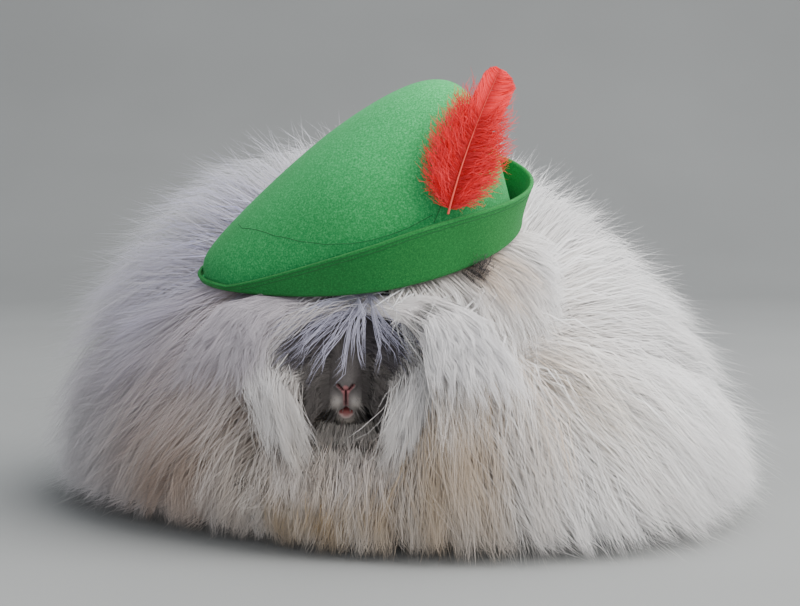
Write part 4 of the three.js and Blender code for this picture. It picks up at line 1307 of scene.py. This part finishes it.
def is_bare(skin):
    """Whether places on the head lie on nose, mouth or eye, where no fur grows."""
    x, z = skin[:, 0], skin[:, 2]
    off, _ = to_line(np.abs(x), z, NOSTRIL["line"])
    bare = (np.hypot(x, (z + 10) * 0.8) < 2.6) | (off < 1.5) | (mouth_depth(x, z) > -1.6)
    return (bare & (skin[:, 1] < MUZZLE[0])) | (eye_distance(skin) < HEAD["eye_radius"] + 1.2)


def make_face_fur(material):
    """Short fur on the face, lying back from the nose."""
    count = FACE_FUR["count"]
    polar = math.pi * rng.random(count) ** 0.8 * FACE_FUR["wide"]
    ways = directions(polar, rng.uniform(0, 2 * math.pi, count))
    skin = head_surface(ways)
    normal = skull_normal(ways, skin)
    away = skin - NOSE
    lie = away + FACE_FUR["back"]
    lie = unit(lie - np.sum(lie * normal, -1)[:, None] * normal)
    far = np.linalg.norm(away, axis=-1)
    length = np.interp(far, *FACE_FUR["lengths"]) * rng.uniform(0.75, 1.2, count)
    keep = ~is_bare(skin)
    skin, normal, lie, length, ways = skin[keep], normal[keep], lie[keep], length[keep], ways[keep]
    stand = np.interp(far[keep], *FACE_FUR["stand"])
    root = skin - normal * 0.4
    bend = skin + lie * (length * 0.4)[:, None] + normal * (length * 0.45 * stand)[:, None]
    tip = skin + (lie * length[:, None] + normal * (length * stand)[:, None]) / np.hypot(1, stand)[:, None]
    jitter = 0.12 * length[:, None] * rng.standard_normal(tip.shape)
    paths = from_head(bezier(root, bend, tip + jitter, SHORT_STEPS))
    tints = face_tint(skin) * (1 + 0.14 * rng.standard_normal((len(skin), 1)))
    tints = np.clip(tints[:, None] * FACE_FUR["shade"][None, :, None], 0, 0.95)
    widths = np.interp(length, *FACE_FUR["widths"])
    outs = from_head(normal) - HEAD["place"]
    strand_object("face_fur", paths, widths, outs, tints, uv_of(ways), material, ["head"])


# Eyes. Each ring of colour goes from one share of the gaze to another.
EYES = {
    "gaze": vec(0.93, -0.36, 0.08), "cornea": 0.5, "bulge": (0.72, 1.0),
    "pupil": srgb(8, 6, 6), "iris": srgb(74, 44, 28), "white": srgb(120, 96, 84),
    "iris_from": (0.9, 0.86), "white_from": (0.66, 0.58),
}


def make_eyes(material):
    for name, side in (("left", 1), ("right", -1)):
        centre = from_head(HEAD["eye"] * [side, 1, 1])
        ways = directions(*ball(64, 48))
        facing = ways @ unit(EYES["gaze"] * [side, 1, 1])
        radius = HEAD["eye_radius"] + EYES["cornea"] * smooth(*EYES["bulge"], facing)
        tint = lerp(EYES["pupil"], EYES["iris"], smooth(*EYES["iris_from"], facing)[..., None])
        tint = lerp(tint, EYES["white"], smooth(*EYES["white_from"], facing)[..., None])
        points = centre + ways * radius[..., None]
        made = grid_object(f"eyeball_{name}", points, True, material, tint)
        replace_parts(made, f"eye_{name}")


# The hat.
def thicken(sheet, offset):
    """Gives a sheet of felt its thickness: offset 1 adds it outside, and 0 on both sides."""
    shell = sheet.modifiers.new("felt", "SOLIDIFY")
    shell.thickness = HAT["felt"] * MM
    shell.offset = offset
    apply_modifiers(sheet)


def ridge_at(share):
    """The line of the crown from the beak to the back: a smooth curve through its named points."""
    points = np.array(HAT["ridge"], float)
    place = np.clip(share, 0, 1) * (len(points) - 1)
    index = np.minimum(place.astype(int), len(points) - 2)
    t = (place - index)[..., None]
    p1, p2 = points[index], points[index + 1]
    p0 = points[np.maximum(index - 1, 0)]
    p3 = points[np.minimum(index + 2, len(points) - 1)]
    v0, v1 = (p2 - p0) * 0.5, (p3 - p1) * 0.5
    bent = (2 * p1 - 2 * p2 + v0 + v1) * t**3 + (-3 * p1 + 3 * p2 - 2 * v0 - v1) * t**2
    return bent + v0 * t + p1


def on_crown(px, turn, off):
    """Places on the crown, some way outside it: px goes from the beak at -1 to the back at 1, and the turn
    over the crown from the near side of the brim at 0 to its far side."""
    line = ridge_at((1 + px) / 2)
    middle, half = (HAT["back"] - HAT["front"]) / 2, (HAT["back"] + HAT["front"]) / 2
    x = middle + (line[..., 0] - middle) * (1 + off / half)
    wide = hat_half_width(x, HAT["fold"] - off)
    high = np.maximum(line[..., 1] + off, -1)
    return np.stack([x, -wide * np.cos(turn), high * np.sin(turn) ** HAT["arch"]], -1)


def make_crown(material):
    polar, turn = np.meshgrid(np.linspace(0, math.pi, 120), np.linspace(0, math.pi, 90), indexing="ij")
    made = grid_object("felt_crown", from_hat(on_crown(-np.cos(polar), turn, 0)), False, material)
    thicken(made, 1)
    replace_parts(made, "hat_crown")


def cuff_rise(turn):
    """Height of the cuff's upper edge at a turn, and how far the turn is towards the back, from 0 to 1."""
    back = np.maximum(0, (np.cos(turn) - CUFF["from"]) / (1 - CUFF["from"]))
    return CUFF["low"] + CUFF["high"] * np.sin(math.pi * CUFF["peak"] * back), back


def cuff_place(turn, share, off=0.0):
    """A place on the cuff or some way outside it: share 0 is the fold and 1 the upper edge."""
    rise, back = cuff_rise(turn)
    flare = lerp(CUFF["flare_front"], CUFF["flare_back"], back**3) * share**1.3
    x, y = hat_outline(turn, HAT["fold"] - CUFF["inset"] - off - flare)
    return np.stack([x, y, share * rise], -1)


def make_cuff(material):
    turn = np.linspace(0, 2 * math.pi, 241)[:-1][None]
    bottom, inner = cuff_place(turn, 0 * turn), cuff_place(turn, 0 * turn, -CUFF["inset"])
    centre, radius = (bottom + inner) / 2, CUFF["inset"] / 2
    rows = []
    for angle in np.linspace(0, math.pi, 6)[:-1]:
        rows.append(centre + (inner - centre) * math.cos(angle) - UP * radius * math.sin(angle))
    for share in np.linspace(0, 1, 16):
        rows.append(cuff_place(turn, np.full_like(turn, share)))
    made = grid_object("felt_brim", from_hat(np.concatenate(rows, 0)), True, material)
    thicken(made, 0)
    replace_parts(made, "hat_brim")


# Seams, as places on the near side of the crown: share of the way from beak to back, and the turn
# over the crown, where 0 is the near side of the brim.
CROWN_SEAM = [
    (0.255, 1.3), (0.26, 1.12), (0.3, 0.7), (0.33, 0.51), (0.36, 0.4), (0.395, 0.34), (0.425, 0.32),
    (0.46, 0.31), (0.49, 0.31), (0.54, 0.33),
]
BACK_SEAM = [(0.54, 0.28), (0.55, 0.32), (0.56, 0.36), (0.572, 0.4)]
STITCH = {"insets": (1.8, 4.2), "radius": 0.26, "from": -math.pi + 0.5, "to": 0.9}
SEAM_LIFT, STITCH_LIFT = 0.1, 0.05     # how far the threads lie outside the felt


def tube(name, path, radius, material):
    """A thread along a path."""
    along = unit(np.gradient(path, axis=0))
    side = unit(np.cross(along, UP))
    up = np.cross(side, along)
    ring = np.linspace(0, 2 * math.pi, 7)[:-1]
    points = np.stack([path + radius * (side * math.cos(a) + up * math.sin(a)) for a in ring], 1)
    return grid_object(name, points, True, material)


def make_seams(material):
    for name, line in (("crown_seam", CROWN_SEAM), ("back_seam", BACK_SEAM)):
        share, over = np.array(line).T
        steps = np.linspace(0, len(line) - 1, 90)
        px = 2 * np.interp(steps, np.arange(len(line)), share) - 1
        turn = np.interp(steps, np.arange(len(line)), over)
        path = from_hat(on_crown(px, turn, HAT["felt"] + SEAM_LIFT))
        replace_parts(tube(name, path, STITCH["radius"], material), "hat_crown")
    turn = np.linspace(STITCH["from"], STITCH["to"], 200)
    rise, _ = cuff_rise(turn)
    for number, inset in enumerate(STITCH["insets"]):
        share = np.clip(1 - inset / np.maximum(rise, 5), 0, 1)
        path = from_hat(cuff_place(turn, share, HAT["felt"] / 2 + STITCH_LIFT))
        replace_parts(tube(f"cuff_stitching_{number + 1}", path, STITCH["radius"], material), "hat_brim")


# The feather. The lengths of its barbs go by the place along the quill, on either side of it.
DOWN_LENGTHS, DOWN_RISE = (13, 23, 25, 16), (0.02, 0.24)
BARBS = {
    "down": {
        "count": 880, "along": (0.0, 0.66), "at": [0, 0.12, 0.35, 0.66], "uneven": (0.45, 1.15),
        "lengths": {1: DOWN_LENGTHS, -1: DOWN_LENGTHS}, "lift": 4.5, "width": 0.42, "sway": 3.0,
    },
    "vane": {
        "count": 300, "along": (0.52, 0.995), "at": [0.5, 0.65, 0.85, 0.95, 1], "uneven": (0.94, 1.02),
        "lengths": {1: (12, 14, 14, 10, 4), -1: (10, 9, 8, 6, 3)}, "lift": 0.3, "width": 0.9, "sway": 0.2,
    },
}
VANE_RISE = ([0.5, 0.8, 1], [0.14, 0.12, 0.0])
QUILL = {"along": (-0.04, 0.97), "radii": ([0, 0.3, 0.6, 1], [0.7, 0.45, 0.15, 0.1]), "lift": 0.6}
QUILL_TINT = srgb(236, 96, 84)


def feather_place(t, sideways, out):
    """Places on the feather: along the quill, beside it and in front of it."""
    base, bend, tip = (FEATHER[k] for k in ("base", "bend", "tip"))
    t = t[..., None]
    line = (1 - t) ** 2 * base + 2 * t * (1 - t) * bend + t**2 * tip
    tangent = unit(2 * (1 - t) * (bend - base) + 2 * t * (tip - bend))
    facing = unit(FEATHER["facing"])
    across = unit(np.cross(tangent, facing))
    return line + across * sideways[..., None] + facing * out[..., None]


def feather_barbs(kind, side):
    """Barbs on one side of the quill: loose down below, and a closed vane above."""
    barbs = BARBS[kind]
    count = barbs["count"]
    t = rng.uniform(*barbs["along"], count)
    size = np.interp(t, barbs["at"], barbs["lengths"][side]) * rng.uniform(*barbs["uneven"], count)
    rise = rng.uniform(*DOWN_RISE, count) if kind == "down" else np.interp(t, *VANE_RISE)
    lift = barbs["lift"] * rng.standard_normal(count)
    steps = STRAND_STEPS[None]
    along = t[:, None] + rise[:, None] * steps**1.3
    return feather_place(along, side * size[:, None] * steps**0.85, lift[:, None] * steps**1.5)


def make_barbs(kind, material):
    paths = np.concatenate([feather_barbs(kind, side) for side in (-1, 1)])
    paths = wave(paths, BARBS[kind]["sway"])
    count, steps = paths.shape[:2]
    tint = lerp(FEATHER["light"], FEATHER["dark"], rng.random((count, 1)) ** 1.5)
    tints = np.clip(tint[:, None] * np.linspace(0.8, 1.1, steps)[None, :, None], 0, 0.95)
    uv = np.stack([0.1 + 0.8 * rng.random(count), 0.1 + 0.8 * rng.random(count)], -1)
    strand_object(
        f"feather_{kind}", paths, np.full(count, BARBS[kind]["width"]),
        np.tile(unit(FEATHER["facing"]), (count, 1)), tints, uv, material, ["hat_feather"], 0,
    )


def make_feather(material):
    for kind in BARBS:
        make_barbs(kind, material)
    t = np.linspace(*QUILL["along"], 40)
    radius = np.interp(t, *QUILL["radii"])
    ring = np.linspace(0, 2 * math.pi, 9)[:-1]
    points = [feather_place(t, radius * math.cos(a), QUILL["lift"] + radius * math.sin(a)) for a in ring]
    points = np.stack(points, 1)
    tints = np.tile(QUILL_TINT, (*points.shape[:2], 1))
    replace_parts(grid_object("feather_quill", points, True, material, tints), "hat_feather")


# Floor, light and camera, in metres. The floor curves up behind the rabbit in a quarter turn.
FLOOR = {"front": -3.0, "back": 1.6, "radius": 1.2, "top": 4.0, "half_width": 5.0}
FLOOR_SHADES = [(0.3, (0.27, 0.275, 0.27)), (0.7, (0.29, 0.295, 0.29))]
LIGHTS = [
    ("key", (1.5, -0.9, 1.7), 2.2, 92, (1.0, 0.98, 0.95)),
    ("top", (0.5, 0.4, 2.0), 2.2, 38, (0.96, 0.98, 1.0)),
    ("fill", (-0.1, -2.2, 0.7), 1.8, 18, (0.97, 0.98, 1.0)),
]
LIGHT_AIM = Vector((0, 0, 0.12))
SKY = {"Color": (0.80, 0.84, 0.90, 1), "Strength": 0.66}


def make_stage():
    """A plain floor that curves up behind the rabbit."""
    back, radius = FLOOR["back"], FLOOR["radius"]
    profile = [(FLOOR["front"], 0.0), (back, 0.0)]
    for a in np.linspace(0, math.pi / 2, 16)[1:]:
        profile.append((back + radius * math.sin(a), radius - radius * math.cos(a)))
    profile.append((back + radius, FLOOR["top"]))
    points = [(x, y, z) for y, z in profile for x in (-FLOOR["half_width"], FLOOR["half_width"])]
    faces = [(2 * k, 2 * k + 1, 2 * k + 3, 2 * k + 2) for k in range(len(profile) - 1)]
    mesh = bpy.data.meshes.new("floor")
    mesh.from_pydata(points, [], faces)
    mesh.polygons.foreach_set("use_smooth", np.ones(len(faces), bool))
    made, tree, shader = new_material("plain_floor", Roughness=0.9)
    tree.links.new(ramp(tree, noise(tree, 3.0, 2.0), FLOOR_SHADES), shader.inputs["Base Color"])
    mesh.materials.append(made)
    floor = add_object("floor", mesh)


def make_lights():
    """Wide soft lights that aim at the rabbit, and an even sky."""
    for name, place, size, power, colour in LIGHTS:
        light = bpy.data.lights.new(name, "AREA")
        light.energy = power
        light.size = size
        light.color = colour
        made = add_object(name, light)
        made.location = place
        made.rotation_euler = (LIGHT_AIM - Vector(place)).to_track_quat("-Z", "Y").to_euler()
    world = bpy.data.worlds.new("studio")
    bpy.context.scene.world = world
    world.use_nodes = True
    for key, value in SKY.items():
        world.node_tree.nodes["Background"].inputs[key].default_value = value


def make_camera():
    data = bpy.data.cameras.new("camera")
    data.lens = CAMERA["lens"]
    data.sensor_width = CAMERA["sensor"]
    made = add_object("camera", data)
    made.location = Vector(in_metres(CAMERA["place"]))
    made.rotation_euler = (math.pi / 2 - CAMERA["down"], 0, 0)
    bpy.context.scene.camera = made


make_camera()
make_stage()
make_lights()
wool = wool_material()
make_skin(skin_material())
make_eyes(eye_material())
make_layer("undercoat", UNDER, wool)
make_wool(wool)
make_layer("halo", HALO, wool)
make_ear_tips(wool)
make_fans(wool)
make_face_fur(wool)
make_crown(felt_material("felt"))
make_cuff(felt_material("brim_felt"))
make_seams(thread_material())
make_feather(feather_material())
